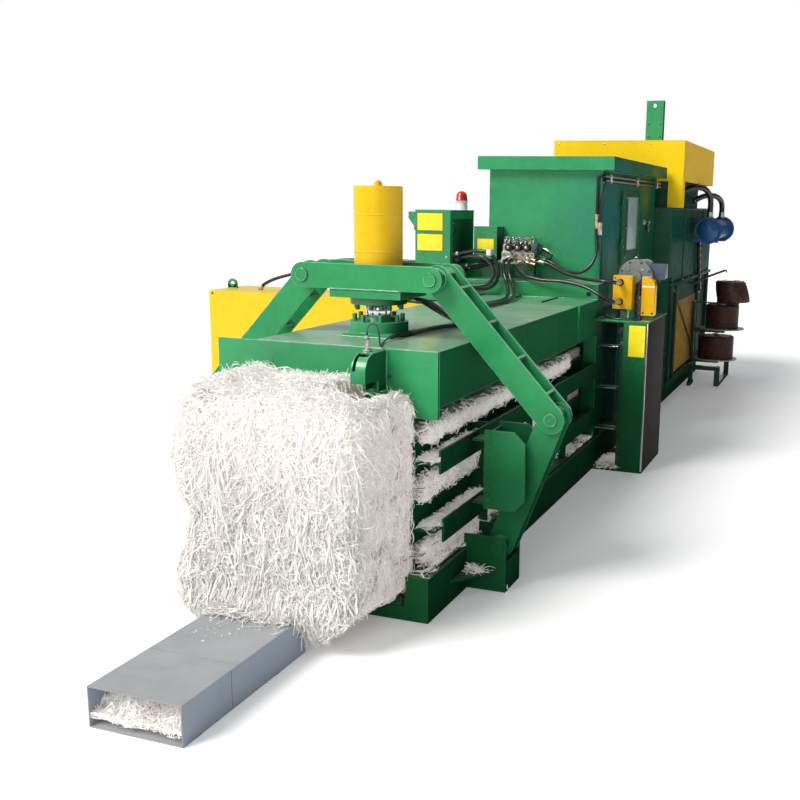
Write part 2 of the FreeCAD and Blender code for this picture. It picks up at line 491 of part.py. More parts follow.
node("warning_beacon", turned("beacon_form", [(0, 2604), (64, 2604), (64, 2700), (70, 2704), (70, 2714), (62, 2716), (62, 2760), (50, 2796), (28, 2814), (0, 2820)], at=(-945, 4620, 0)))
node("junction_box", box("junction_case", -712, -450, 4400, 4621, 2110, 2444))
vm = [box("valve_block", -405, -40, 4430, 4590, 2060, 2190), box("valve_leg_a", -390, -350, 4480, 4540, 1900, 2060), box("valve_leg_b", -90, -50, 4480, 4540, 1900, 2060),
      box("valve_coils", -395, -60, 4470, 4590, 2190, 2350)]
for i, x in enumerate((-310, -198, -86)):
    vm.append(cyl("solenoid_%d" % i, "Y", (x, 4350, 2210), 42, 120))
node("valve_manifold", fuse("valve_manifold", vm))

# hydraulic hoses, held at both ends
HR = 19
hs = [
    tube("hose_left_a", [(-405, 4500, 2085), (-500, 4500, 2080), (-620, 4490, 2060), (-750, 4470, 2030), (-881, 4460, 2020)], HR),
    tube("hose_left_b", [(-405, 4560, 2085), (-500, 4560, 2070), (-620, 4560, 2040), (-750, 4550, 2000), (-881, 4545, 1990)], HR),
    tube("hose_loop_a", [(-881, 4230, 2150), (-760, 4190, 2175), (-620, 4130, 2200), (-500, 4110, 2205), (-400, 4110, 2170), (-335, 4110, 2080), (-315, 4110, 1980),
                         (-345, 4110, 1880), (-420, 4110, 1820), (-520, 4115, 1800), (-640, 4125, 1802), (-775, 4150, 1810), (-881, 4215, 1818)], HR),
    tube("hose_loop_b", [(-881, 4290, 2090), (-770, 4200, 2120), (-620, 4105, 2150), (-500, 4062, 2150), (-420, 4060, 2115), (-365, 4060, 2040), (-350, 4060, 1965),
                         (-380, 4060, 1895), (-450, 4060, 1855), (-540, 4065, 1840), (-650, 4080, 1845), (-775, 4135, 1855), (-881, 4250, 1865)], HR),
    tube("hose_motor_a", [(-40, 4470, 2100), (120, 4440, 2080), (320, 4330, 1990), (540, 4170, 1958), (700, 4040, 1958), (850, 3975, 1950), (950, 4020, 1942), (960, 4140, 1935)], HR),
    tube("hose_motor_b", [(-200, 4430, 2075), (-190, 4300, 2040), (-60, 4150, 1960), (160, 4090, 1925), (400, 4060, 1930), (640, 4020, 1890), (830, 3960, 1800), (935, 4010, 1748), (960, 4140, 1740)], HR),
    tube("hose_needle", [(-3420, 4450, 1641), (-3375, 4450, 1705), (-3280, 4450, 1755), (-3147, 4450, 1803), (-3010, 4450, 1836), (-2800, 4450, 1910), (-2590, 4450, 1990),
                         (-2357, 4450, 2028), (-2167, 4450, 2041), (-1800, 4450, 2045), (-1441, 4440, 2046), (-1292, 4430, 2046)], HR),
    tube("hose_hopper", [(-40, 4540, 2140), (120, 4500, 2100), (300, 4470, 2000), (470, 4480, 1990), (570, 4530, 2080), (610, 4580, 2220), (590, 4596, 2340), (585, 4596, 2470)], HR)]
node("valve_hoses", group("valve_hoses", hs))
# the pair that feeds the press cylinder: along the press plate, then up in front of the beam
cd = [tube("hose_press_a", [(168, 776, 2000), (280, 860, 1980), (335, 1010, 1905), (290, 1250, 1835), (210, 1600, 1786), (110, 2050, 1774), (30, 2520, 1774), (40, 3000, 1774), (40, 3420, 1774),
                            (-40, 3790, 1795), (-140, 4040, 1870), (-215, 4140, 1990), (-262, 4270, 2090), (-262, 4430, 2120)], HR),
      tube("hose_press_b", [(106, 829, 2000), (190, 950, 1978), (250, 1120, 1895), (225, 1400, 1818), (150, 1720, 1784), (60, 2120, 1774), (-30, 2560, 1774), (-22, 3010, 1774), (-15, 3400, 1774),
                            (-95, 3760, 1795), (-195, 4030, 1870), (-268, 4130, 1990), (-318, 4265, 2090), (-318, 4430, 2120)], HR)]
node("press_hoses", group("press_hoses", cd))
ch = [tube("hose_cooler_a", [(760, 8750, 2900), (900, 8790, 2968), (1060, 8950, 2968), (1130, 9110, 2840), (1130, 9110, 2550)], 40),
      tube("hose_cooler_b", [(760, 9900, 2790), (900, 9950, 2866), (1050, 10150, 2880), (1130, 10390, 2790), (1130, 10390, 2550)], 40)]
node("cooler_hoses", group("cooler_hoses", ch))

# ------------------------------------------------------------------ paper and chute
bale = [box("bale_front", -600, 600, -850, -64, 95, 1380), box("bale_neck", -572, 572, -64, -6, 95, 1380), box("bale_crown", -600, 600, -850, -125, 1380, 1500),
        box("bale_column", -572, 572, -6, 4150, 95, 1262)]
for s, n in ((1, "right"), (-1, "left")):
    X = lambda a, b: (a, b) if s > 0 else (-b, -a)
    bale.append(box("bulge_top_" + n, *X(572, 700), 30, 3390, 1170, 1262))
    for i, (a, b) in enumerate(((-6, 990), (1030, 2070), (2110, 3150))):
        bale.append(box("bulge_mid_%s_%d" % (n, i), *X(572, 650), a, b, 760, 925))
        bale.append(box("bulge_low_%s_%d" % (n, i), *X(572, 640), a, b, 342, 462))
node("paper_bale", fuse("paper_bale", bale))
node("chute", hollow("chute_duct", -335, 241, -2049, -865, 0, 228, 6, "y-y+"))

# ------------------------------------------------------------------ wire supply rack
rk = [box("rack_post", 862, 915, 9640, 9760, 60, 1286), box("rack_foot", 862, 915, 9540, 9860, 0, 60),
      box("rack_bar_low", 915, 1330, 9650, 9750, 240, 300), box("rack_leg_front", 1256, 1330, 9650, 9750, 50, 240), box("rack_skid", 1256, 1330, 9650, 10900, 0, 50),
      box("rack_leg_back", 1256, 1330, 10840, 10900, 50, 400),
      box("rack_arm_low", 915, 1300, 9650, 9750, 365, 423), box("rack_arm_mid", 915, 1370, 9650, 9750, 830, 888), box("rack_arm_top", 915, 1560, 9640, 9760, 1272, 1286),
      plate("rack_seat", "XZ", [(1230, 1286), (1559, 1286), (1230, 1344)], 9660, 9740),
      cyl("rack_spindle_low", "Z", (1250, 9700, 423), 30, 382), cyl("rack_spindle_mid", "Z", (1320, 9700, 888), 30, 376)]
node("spool_rack", group("spool_rack", [fuse("spool_rack_frame", rk), tube("wire_guide_rod_bar", [(872, 9520, 1565), (1120, 9560, 1690), (1340, 9600, 1780)], 16, fixed=400)]))
node("wire_spool_lower", turned("spool_low", [(30.1, 425), (324, 425), (324, 441), (266, 441), (266, 772), (252, 788), (30.1, 788)], at=(1250, 9700, 0)))
node("wire_spool_middle", turned("spool_mid", [(30.1, 890), (335, 890), (335, 906), (246, 906), (246, 1248), (232, 1264), (30.1, 1264)], at=(1320, 9700, 0)))
su = turned("spool_top", [(60, 0), (235, 0), (246, 60), (246, 250), (235, 310), (60, 310)])
su.Placement = FreeCAD.Placement(V(1452, 9700, 1305.1), FreeCAD.Rotation(V(0, 1, 0), 10))
node("wire_spool_upper", su)

doc.recompute()

bad = [o.Name for o in doc.Objects if "Invalid" in o.State or "Error" in o.State]
if bad:
    raise RuntimeError("objects failed: %s" % bad)
if len(NODES) > 60:
    raise RuntimeError("too many nodes: %d" % len(NODES))
for label, obj in NODES:
    sh = obj.Shape
    if sh.isNull() or not sh.isValid() or sh.Volume < 1:
        raise RuntimeError("bad shape: " + label)
    sh.exportStep("parts/%s.step" % label)
print(len(NODES), "nodes written")
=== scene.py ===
import bpy, bmesh, math
import numpy as np
from mathutils import Vector, Matrix


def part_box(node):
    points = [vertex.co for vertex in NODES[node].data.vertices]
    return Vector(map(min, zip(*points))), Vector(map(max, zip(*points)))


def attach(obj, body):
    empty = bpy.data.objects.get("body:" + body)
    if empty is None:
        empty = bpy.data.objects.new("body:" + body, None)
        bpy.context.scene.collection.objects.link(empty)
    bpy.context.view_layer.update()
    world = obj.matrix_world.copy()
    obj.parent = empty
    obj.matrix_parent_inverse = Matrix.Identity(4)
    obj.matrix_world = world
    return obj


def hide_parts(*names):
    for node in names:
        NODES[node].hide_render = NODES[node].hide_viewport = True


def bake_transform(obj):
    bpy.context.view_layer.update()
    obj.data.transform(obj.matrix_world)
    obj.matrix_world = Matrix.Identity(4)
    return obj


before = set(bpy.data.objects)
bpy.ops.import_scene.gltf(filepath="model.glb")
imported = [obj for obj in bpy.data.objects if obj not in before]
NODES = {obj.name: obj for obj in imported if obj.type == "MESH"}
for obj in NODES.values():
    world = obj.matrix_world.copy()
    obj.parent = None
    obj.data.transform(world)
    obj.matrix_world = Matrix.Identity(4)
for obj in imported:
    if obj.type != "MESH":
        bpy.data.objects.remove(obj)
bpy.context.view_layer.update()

rng = np.random.default_rng(41)


# ---------------------------------------------------------------- camera
def camera():
    yaw, pitch, roll = math.radians(19.329), math.radians(11.444), math.radians(1.079)
    fwd = Vector((-math.sin(yaw) * math.cos(pitch), math.cos(yaw) * math.cos(pitch), -math.sin(pitch)))
    right = Vector((math.cos(yaw), math.sin(yaw), 0))
    up = right.cross(fwd)
    R = math.cos(roll) * right + math.sin(roll) * up
    U = -math.sin(roll) * right + math.cos(roll) * up
    M = Matrix((R, U, -fwd)).transposed().to_4x4()
    M.translation = Vector((3.2018, -5.8492, 2.6788))
    cd = bpy.data.cameras.new("view_camera")
    cd.sensor_width = 36.0
    cd.lens = 1006.958 / 800 * 36
    cd.shift_x = -(498.668 - 400) / 800
    cd.shift_y = (408.532 - 400) / 800
    cd.clip_end = 200
    co = bpy.data.objects.new("view_camera", cd)
    bpy.context.scene.collection.objects.link(co)
    co.matrix_world = M
    bpy.context.scene.camera = co


camera()


# ---------------------------------------------------------------- materials
def graph(name):
    m = bpy.data.materials.new(name)
    m.use_nodes = True
    nt = m.node_tree
    nt.nodes.clear()
    out = nt.nodes.new("ShaderNodeOutputMaterial")
    bs = nt.nodes.new("ShaderNodeBsdfPrincipled")
    nt.links.new(bs.outputs[0], out.inputs[0])
    tc = nt.nodes.new("ShaderNodeTexCoord")
    return m, nt, bs, tc.outputs["Object"]


def noise(nt, co, scale, detail=4.0, rough=0.5, dist=0.0, stretch=None):
    if stretch:
        mp = nt.nodes.new("ShaderNodeMapping")
        mp.inputs["Scale"].default_value = stretch
        nt.links.new(co, mp.inputs["Vector"])
        co = mp.outputs[0]
    n = nt.nodes.new("ShaderNodeTexNoise")
    n.inputs["Scale"].default_value = scale
    n.inputs["Detail"].default_value = detail
    n.inputs["Roughness"].default_value = rough
    n.inputs["Distortion"].default_value = dist
    nt.links.new(co, n.inputs["Vector"])
    return n.outputs["Fac"]


def span(nt, v, a, b, lo=0.0, hi=1.0):
    m = nt.nodes.new("ShaderNodeMapRange")
    m.inputs["From Min"].default_value = a
    m.inputs["From Max"].default_value = b
    m.inputs["To Min"].default_value = lo
    m.inputs["To Max"].default_value = hi
    nt.links.new(v, m.inputs["Value"])
    return m.outputs["Result"]


def mul(nt, a, b, op="MULTIPLY"):
    m = nt.nodes.new("ShaderNodeMath")
    m.operation = op
    m.use_clamp = op != "SUBTRACT"
    for i, v in enumerate((a, b)):
        if isinstance(v, (int, float)):
            m.inputs[i].default_value = v
        else:
            nt.links.new(v, m.inputs[i])
    return m.outputs[0]


def blendc(nt, fac, a, b):
    m = nt.nodes.new("ShaderNodeMix")
    m.data_type = "RGBA"
    nt.links.new(fac, m.inputs[0])
    for i, v in ((6, a), (7, b)):
        if isinstance(v, (tuple, list)):
            m.inputs[i].default_value = (v[0], v[1], v[2], 1)
        else:
            nt.links.new(v, m.inputs[i])
    return m.outputs[2]


def bumpy(nt, height, strength, dist, normal=None):
    b = nt.nodes.new("ShaderNodeBump")
    b.inputs["Strength"].default_value = strength
    b.inputs["Distance"].default_value = dist
    nt.links.new(height, b.inputs["Height"])
    if normal is not None:
        nt.links.new(normal, b.inputs["Normal"])
    return b.outputs[0]


def paint(name, base, dark=0.72, rough=(0.24, 0.42), dust=None, dust_amount=0.0, edge=None, edge_amount=0.6, coat=0.35,
          peel=0.35, wave=0.3, side=None, dirt=0.25, metal=0.0, bevel=0.004, painted_light_patches=(), low=0.0, spec=0.4, side_spec=0.002):
    """Sprayed enamel on steel: cloudy colour, orange peel, dusty tops, rubbed edges that are partly a painted
    highlight, random grime, colour darker towards the bottom, a painted side colour on +X faces and painted patches of
    reflection and shade.
    """
    m, nt, bs, co = graph(name)
    cloud = noise(nt, co, 1.7, 3, 0.55, 0.4)
    mott = noise(nt, co, 11, 6, 0.6)
    darkc = tuple(c * dark for c in base)
    col = blendc(nt, span(nt, cloud, 0.3, 0.7), darkc, base)
    col = blendc(nt, span(nt, mott, 0.35, 0.75, 0.0, 0.35), col, tuple(min(1, c * 1.25 + 0.004) for c in base))
    geo = nt.nodes.new("ShaderNodeNewGeometry")
    sep = nt.nodes.new("ShaderNodeSeparateXYZ")
    nt.links.new(geo.outputs["Normal"], sep.inputs[0])
    if side is not None:
        # faces turned to the machine's right (+X) are blended towards a colder side colour for how light falls on that
        # side: painted shade where it is darker, painted light where it is paler
        col = blendc(nt, span(nt, sep.outputs["X"], 0.55, 0.95, 0.0, 0.8), col, side)
    if low > 0:
        # below z 1.60 the colour darkens towards z 0.80 and the shine fades towards z 0.90
        sc = nt.nodes.new("ShaderNodeSeparateXYZ")
        nt.links.new(co, sc.inputs[0])
        lowf = span(nt, sc.outputs["Z"], 1.60, 0.80, 0.0, low)
        shiny = span(nt, sc.outputs["Z"], 1.60, 0.90, 1.0, 0.12)
        col = blendc(nt, lowf, col, tuple(c * 0.14 for c in base))
    for centre, radius, tint, amount in painted_light_patches:
        # a painted patch around one point of the object: a painted reflection where the tint is paler, a painted shade
        # where it is darker
        dv = nt.nodes.new("ShaderNodeVectorMath")
        dv.operation = "DISTANCE"
        nt.links.new(co, dv.inputs[0])
        dv.inputs[1].default_value = centre
        f = span(nt, dv.outputs["Value"], radius, radius * 0.25, 0.0, amount)
        col = blendc(nt, mul(nt, f, span(nt, cloud, 0.25, 0.7, 0.55, 1.0)), col, tint)
    bv = nt.nodes.new("ShaderNodeBevel")
    bv.samples = 4
    bv.inputs["Radius"].default_value = bevel
    # pale edges: rubbed wear where the noise allows, and where the edge colour is pale also a painted highlight of
    # edges catching the light
    if edge is not None:
        dt = nt.nodes.new("ShaderNodeVectorMath")
        dt.operation = "DOT_PRODUCT"
        nt.links.new(bv.outputs[0], dt.inputs[0])
        nt.links.new(geo.outputs["Normal"], dt.inputs[1])
        edge_wear_and_glint = span(nt, dt.outputs["Value"], 0.995, 0.90, 0.0, 1.0)
        spot = span(nt, noise(nt, co, 23, 5, 0.7), 0.32, 0.6, 0.0, edge_amount)
        col = blendc(nt, mul(nt, edge_wear_and_glint, spot), col, edge)
    if dust is not None:
        upf = span(nt, sep.outputs["Z"], 0.6, 0.97, 0.0, 1.0)
        dn = span(nt, noise(nt, co, 2.6, 7, 0.65, 0.6), 0.25, 0.7, 0.35, 1.0)
        fac = mul(nt, mul(nt, upf, dn), dust_amount)
        col = blendc(nt, fac, col, dust)
    if dirt > 0:
        gr = span(nt, noise(nt, co, 5.5, 8, 0.7, 0.8), 0.52, 0.78, 0.0, dirt)
        col = blendc(nt, gr, col, tuple(c * 0.35 + 0.006 for c in base))
    nt.links.new(col, bs.inputs["Base Color"])
    rn = noise(nt, co, 7, 5, 0.6, 0.5)
    ro = span(nt, rn, 0.3, 0.7, rough[0], rough[1])
    if dust is not None:
        ro2 = nt.nodes.new("ShaderNodeMix")
        ro2.data_type = "FLOAT"
        nt.links.new(fac, ro2.inputs[0])
        nt.links.new(ro, ro2.inputs[2])
        ro2.inputs[3].default_value = 0.75
        ro = ro2.outputs[0]
    nt.links.new(ro, bs.inputs["Roughness"])
    bs.inputs["Metallic"].default_value = metal
    bs.inputs["Coat Weight"].default_value = coat
    bs.inputs["Coat Roughness"].default_value = 0.16
    if side is not None:
        sf = span(nt, sep.outputs["X"], 0.5, 0.9, 0.0, 1.0)
        cw, sw = span(nt, sf, 0.0, 1.0, coat, 0.0), span(nt, sf, 0.0, 1.0, spec, side_spec)
        if low > 0:
            cw, sw = mul(nt, cw, shiny), mul(nt, sw, shiny)
        nt.links.new(cw, bs.inputs["Coat Weight"])
        nt.links.new(sw, bs.inputs["Specular IOR Level"])
    else:
        bs.inputs["Specular IOR Level"].default_value = spec
    n1 = bumpy(nt, noise(nt, co, 3.1, 2, 0.4), wave, 0.02, bv.outputs[0])
    n2 = bumpy(nt, noise(nt, co, 420, 2, 0.5), peel, 0.0006, n1)
    nt.links.new(n2, bs.inputs["Normal"])
    return m


def metal(name, base, rough=(0.2, 0.35), scratch=(1, 1, 1), bump=0.15, spots=None, scale=60, metallic=1.0, bevel=0.002):
    m, nt, bs, co = graph(name)
    a = noise(nt, co, scale, 6, 0.65, 0.2, scratch)
    b = noise(nt, co, 6, 5, 0.6, 0.4)
    col = blendc(nt, span(nt, b, 0.3, 0.7), tuple(c * 0.72 for c in base), base)
    if spots is not None:
        col = blendc(nt, span(nt, noise(nt, co, 17, 8, 0.7, 1.0), 0.5, 0.72, 0, 0.85), col, spots)
    nt.links.new(col, bs.inputs["Base Color"])
    bs.inputs["Metallic"].default_value = metallic
    nt.links.new(span(nt, a, 0.25, 0.75, rough[0], rough[1]), bs.inputs["Roughness"])
    bv = nt.nodes.new("ShaderNodeBevel")
    bv.samples = 4
    bv.inputs["Radius"].default_value = bevel
    nt.links.new(bumpy(nt, a, bump, 0.001, bv.outputs[0]), bs.inputs["Normal"])
    return m


def soft(name, base, rough=(0.4, 0.6), bump=0.2, scale=90, var=0.2, coat=0.0, sub=0.0, tone=None, stretch=None):
    m, nt, bs, co = graph(name)
    a = noise(nt, co, scale, 5, 0.6, 0.1, stretch)
    b = noise(nt, co, 8, 5, 0.6, 0.3)
    col = blendc(nt, span(nt, b, 0.3, 0.7), tuple(c * (1 - var) for c in base), tuple(min(1, c * (1 + var)) for c in base))
    if tone is not None:
        col = blendc(nt, span(nt, noise(nt, co, 21, 6, 0.7, 0.6), 0.45, 0.7, 0, 0.7), col, tone)
    nt.links.new(col, bs.inputs["Base Color"])
    nt.links.new(span(nt, a, 0.3, 0.7, rough[0], rough[1]), bs.inputs["Roughness"])
    bs.inputs["Coat Weight"].default_value = coat
    bs.inputs["Coat Roughness"].default_value = 0.12
    if sub > 0:
        bs.inputs["Subsurface Weight"].default_value = sub
        bs.inputs["Subsurface Radius"].default_value = (0.01, 0.008, 0.006)
    nt.links.new(bumpy(nt, a, bump, 0.001), bs.inputs["Normal"])
    return m


# The side= colours below are painted onto faces turned to +X for how light falls there: painted shade where darker than
# the base, painted light where paler.
GREEN = (0.022, 0.300, 0.098)
EDGE = (0.16, 0.50, 0.26)
DUST = (0.33, 0.47, 0.36)
green = paint("green_enamel", GREEN, edge=EDGE, dust=DUST, dust_amount=0.55, side=(0.008, 0.085, 0.036), low=0.72)
# the cabinet's side colour is paler than its front: painted light
green_cab = paint("green_cabinet", (0.020, 0.275, 0.090), edge=EDGE, dust=DUST, dust_amount=0.5, side=(0.034, 0.34, 0.15))
green_plate = paint("green_plate_top", GREEN, edge=(0.4, 0.6, 0.45), edge_amount=0.9, dust=(0.33, 0.44, 0.34), dust_amount=0.85, side=(0.007, 0.072, 0.028), low=0.5)
# the arms' pale edge colour is mostly a painted highlight of edges catching the light, with some rubbed wear
green_bright = paint("green_arm", (0.020, 0.30, 0.092), edge=(0.62, 0.78, 0.66), edge_amount=1.0, dust=DUST, dust_amount=0.5, side=(0.010, 0.12, 0.045), coat=0.2, spec=0.3, bevel=0.006, low=0.75)
green_deep = paint("green_deep", (0.010, 0.100, 0.052), edge=(0.05, 0.2, 0.12), dust=(0.10, 0.16, 0.12), dust_amount=0.5, rough=(0.2, 0.4), side=(0.006, 0.055, 0.040), dirt=0.4)
# on the hopper's right side: a teal and a yellow painted reflection high up and a painted shade low down
green_hopper = paint("green_hopper", (0.024, 0.31, 0.105), edge=(0.12, 0.42, 0.22), dust=DUST, dust_amount=0.4, side=(0.005, 0.060, 0.038), rough=(0.16, 0.3), coat=0.35, wave=0.5, side_spec=0.004,
                     painted_light_patches=(((0.64, 4.95, 2.55), 0.75, (0.012, 0.17, 0.17), 0.75), ((0.64, 6.85, 2.85), 0.40, (0.16, 0.17, 0.02), 0.7), ((0.64, 6.9, 1.9), 0.9, (0.004, 0.035, 0.026), 0.7)))
green_low = paint("green_low", (0.014, 0.17, 0.055), edge=(0.08, 0.3, 0.15), dust=(0.14, 0.2, 0.14), dust_amount=0.6, side=(0.006, 0.05, 0.022), dirt=0.5, low=0.55)
yellow = paint("yellow_enamel", (0.76, 0.465, 0.002), dark=0.95, edge=(0.75, 0.6, 0.25), dust=(0.9, 0.66, 0.06), dust_amount=0.12, dirt=0.0, rough=(0.24, 0.36), coat=0.10, spec=0.18, wave=0.10, side=(0.80, 0.50, 0.06))
yellow_rear = paint("yellow_rear_cover", (0.97, 0.62, 0.003), dark=0.95, edge=(0.75, 0.6, 0.25), dirt=0.0, rough=(0.24, 0.36), coat=0.10, spec=0.18, wave=0.10, side=(0.80, 0.50, 0.06))
yellow_pale = paint("yellow_cover", (0.77, 0.53, 0.010), dark=0.95, edge=(0.8, 0.68, 0.3), dust=(0.92, 0.8, 0.30), dust_amount=0.25, dirt=0.03, rough=(0.26, 0.4), coat=0.10, spec=0.22, wave=0.15)
amber = paint("amber_enamel", (0.78, 0.42, 0.003), dark=0.9, edge=(0.8, 0.6, 0.2), dust=(0.9, 0.6, 0.2), dust_amount=0.1, dirt=0.08, coat=0.12, spec=0.25, side=(0.42, 0.20, 0.003))
# the chute's side colour is paler and bluer than its top: painted light
grey = paint("chute_grey", (0.24, 0.26, 0.27), dark=0.86, edge=(0.5, 0.5, 0.5), dust=(0.40, 0.41, 0.42), dust_amount=0.8, side=(0.36, 0.42, 0.50), dirt=0.12, rough=(0.4, 0.6), coat=0.05)
blue = paint("blue_enamel", (0.012, 0.095, 0.27), dark=0.75, edge=(0.08, 0.2, 0.5), dust=(0.05, 0.15, 0.38), dust_amount=0.4, coat=0.15, rough=(0.3, 0.45), side=(0.008, 0.065, 0.18))
white_paint = paint("white_enamel", (0.78, 0.77, 0.74), dark=0.92, edge=(0.9, 0.9, 0.9), coat=0.2, dirt=0.1)
cast = metal("motor_cast", (0.20, 0.22, 0.22), rough=(0.4, 0.6), bump=0.5, scale=140, metallic=0.25, spots=(0.12, 0.12, 0.11))
steel = metal("bright_steel", (0.66, 0.65, 0.62), rough=(0.16, 0.3), scratch=(1, 12, 12), scale=40)
dark_steel = metal("dark_steel", (0.10, 0.10, 0.095), rough=(0.3, 0.5), metallic=0.7, spots=(0.05, 0.035, 0.02))
post_steel = metal("post_side_steel", (0.040, 0.034, 0.031), rough=(0.5, 0.7), scratch=(30, 30, 1.2), scale=9, metallic=0.0, spots=(0.020, 0.014, 0.011))
post_steel.node_tree.nodes["Principled BSDF"].inputs["Specular IOR Level"].default_value = 0.03
black_steel = metal("black_steel", (0.010, 0.011, 0.012), rough=(0.2, 0.36), metallic=0.05)
zinc = metal("zinc_fitting", (0.62, 0.58, 0.52), rough=(0.22, 0.4), scale=120)
brass = metal("brass_fitting", (0.72, 0.55, 0.28), rough=(0.2, 0.35), scale=120)
chrome = metal("rod_chrome", (0.82, 0.82, 0.82), rough=(0.05, 0.12), scratch=(8, 8, 1), scale=50, bump=0.05)
rubber = soft("hose_rubber", (0.012, 0.012, 0.013), rough=(0.22, 0.36), bump=0.25, scale=260, var=0.35, coat=0.25)
black_plastic = soft("black_plastic", (0.013, 0.013, 0.015), rough=(0.25, 0.4), bump=0.1, scale=300, coat=0.3)
blue_plastic = soft("blue_plastic", (0.02, 0.16, 0.55), rough=(0.25, 0.4), bump=0.1, scale=300)
slate = soft("slate_box", (0.055, 0.075, 0.105), rough=(0.3, 0.45), bump=0.15, scale=200)
lens = soft("lens_red", (0.62, 0.006, 0.012), rough=(0.08, 0.16), bump=0.05, scale=80, coat=0.8, sub=0.25)
white_plastic = soft("white_plastic", (0.78, 0.78, 0.76), rough=(0.25, 0.4), bump=0.05, scale=200, coat=0.2)
plate_yellow = soft("plate_yellow", (0.93, 0.76, 0.016), rough=(0.22, 0.34), bump=0.08, scale=120, var=0.05, coat=0.3)
plate_rim = soft("plate_rim", (0.16, 0.11, 0.01), rough=(0.3, 0.45), bump=0.08, scale=120)
window = soft("window_grey", (0.22, 0.31, 0.31), rough=(0.3, 0.45), bump=0.1, scale=8, coat=0.05, var=0.3)
ochre = soft("ochre_panel", (0.36, 0.19, 0.03), rough=(0.5, 0.7), bump=0.2, scale=40, var=0.35, tone=(0.22, 0.16, 0.05))
ochre.node_tree.nodes["Principled BSDF"].inputs["Specular IOR Level"].default_value = 0.03
dark_panel = paint("dark_panel", (0.006, 0.045, 0.026), edge=(0.03, 0.12, 0.07), side=(0.004, 0.028, 0.018), dirt=0.5, coat=0.3)
spool_wire = metal("spool_wire", (0.075, 0.036, 0.024), rough=(0.34, 0.55), scratch=(1, 1, 14), scale=26, metallic=0.55, bump=0.8, spots=(0.16, 0.085, 0.055))
disc_green = paint("disc_green", (0.30, 0.36, 0.22), edge=(0.5, 0.5, 0.4), dust=(0.4, 0.42, 0.32), dust_amount=0.5, dirt=0.4)
wire_red = soft("tie_wire_red", (0.16, 0.018, 0.016), rough=(0.35, 0.5), bump=0.1, scale=200)
edge_grey = soft("edge_grey", (0.50, 0.50, 0.50), rough=(0.35, 0.5), bump=0.1, scale=120)
# near-black sheets and discs laid into gaps, seams and holes: painted shade
painted_gap_shade = soft("painted_gap_shade", (0.004, 0.006, 0.005), rough=(0.6, 0.8), bump=0.2, scale=60)


def wire_material():
    m, nt, bs, co = graph("wound_wire")
    wv = nt.nodes.new("ShaderNodeTexWave")
    wv.wave_type = "BANDS"
    wv.bands_direction = "Z"
    wv.inputs["Scale"].default_value = 60
    wv.inputs["Distortion"].default_value = 1.4
    wv.inputs["Detail"].default_value = 2
    nt.links.new(co, wv.inputs["Vector"])
    b = noise(nt, co, 9, 6, 0.7, 0.6)
    col = blendc(nt, span(nt, b, 0.3, 0.7), (0.035, 0.018, 0.012), (0.10, 0.05, 0.032))
    col = blendc(nt, span(nt, wv.outputs["Fac"], 0.5, 1.0, 0, 0.6), col, (0.18, 0.10, 0.07))
    nt.links.new(col, bs.inputs["Base Color"])
    bs.inputs["Metallic"].default_value = 0.6
    nt.links.new(span(nt, b, 0.3, 0.7, 0.35, 0.55), bs.inputs["Roughness"])
    nt.links.new(bumpy(nt, wv.outputs["Fac"], 0.9, 0.004), bs.inputs["Normal"])
    return m


wire = wire_material()


def paper_material(name, a, b, shade, through, painted_glow):
    m, nt, bs, co = graph(name)
    at = nt.nodes.new("ShaderNodeAttribute")
    at.attribute_name = "tone"
    sep = nt.nodes.new("ShaderNodeSeparateColor")
    nt.links.new(at.outputs["Color"], sep.inputs[0])
    col = blendc(nt, sep.outputs[0], a, b)
    col = blendc(nt, sep.outputs[1], col, shade)
    fib = noise(nt, co, 300, 3, 0.6)
    col = blendc(nt, span(nt, fib, 0.35, 0.75, 0, 0.25), col, tuple(c * 0.82 for c in a))
    nt.links.new(col, bs.inputs["Base Color"])
    nt.links.new(span(nt, fib, 0.3, 0.7, 0.55, 0.8), bs.inputs["Roughness"])
    bs.inputs["Specular IOR Level"].default_value = 0.25
    nt.links.new(bumpy(nt, noise(nt, co, 160, 4, 0.6), 0.25, 0.001), bs.inputs["Normal"])
    # the paper emits a painted glow in its own colour to lift its shade, stronger near its top (z 0.75 to 1.45); a
    # translucent share lets light through the thin sheet
    sc = nt.nodes.new("ShaderNodeSeparateXYZ")
    nt.links.new(co, sc.inputs[0])
    nt.links.new(col, bs.inputs["Emission Color"])
    nt.links.new(span(nt, sc.outputs["Z"], 0.75, 1.45, painted_glow[0], painted_glow[1]), bs.inputs["Emission Strength"])
    tr = nt.nodes.new("ShaderNodeBsdfTranslucent")
    nt.links.new(col, tr.inputs[0])
    mx = nt.nodes.new("ShaderNodeMixShader")
    mx.inputs[0].default_value = through
    out = [q for q in nt.nodes if q.type == "OUTPUT_MATERIAL"][0]
    nt.links.new(bs.outputs[0], mx.inputs[1])
    nt.links.new(tr.outputs[0], mx.inputs[2])
    nt.links.new(mx.outputs[0], out.inputs[0])
    return m


paper = paper_material("paper_shreds", (0.96, 0.945, 0.93), (0.88, 0.85, 0.81), (0.85, 0.78, 0.58), 0.24, (0.0, 0.12))
paper_low = paper_material("paper_shreds_low", (0.95, 0.93, 0.915), (0.85, 0.81, 0.77), (0.80, 0.72, 0.52), 0.30, (0.15, 0.17))
# the darker beige core behind the loose strips is painted shade for the gaps between them
paper_core_painted_shade = soft("paper_core_painted_shade", (0.50, 0.43, 0.385), rough=(0.75, 0.9), bump=1.0, scale=45, var=0.25, tone=(0.46, 0.40, 0.35))


# ---------------------------------------------------------------- mesh helpers
def axes(d):
    d = Vector(d).normalized()
    a = Vector((0, 0, 1)) if abs(d.z) < 0.9 else Vector((1, 0, 0))
    u = d.cross(a).normalized()
    return d, u, d.cross(u)


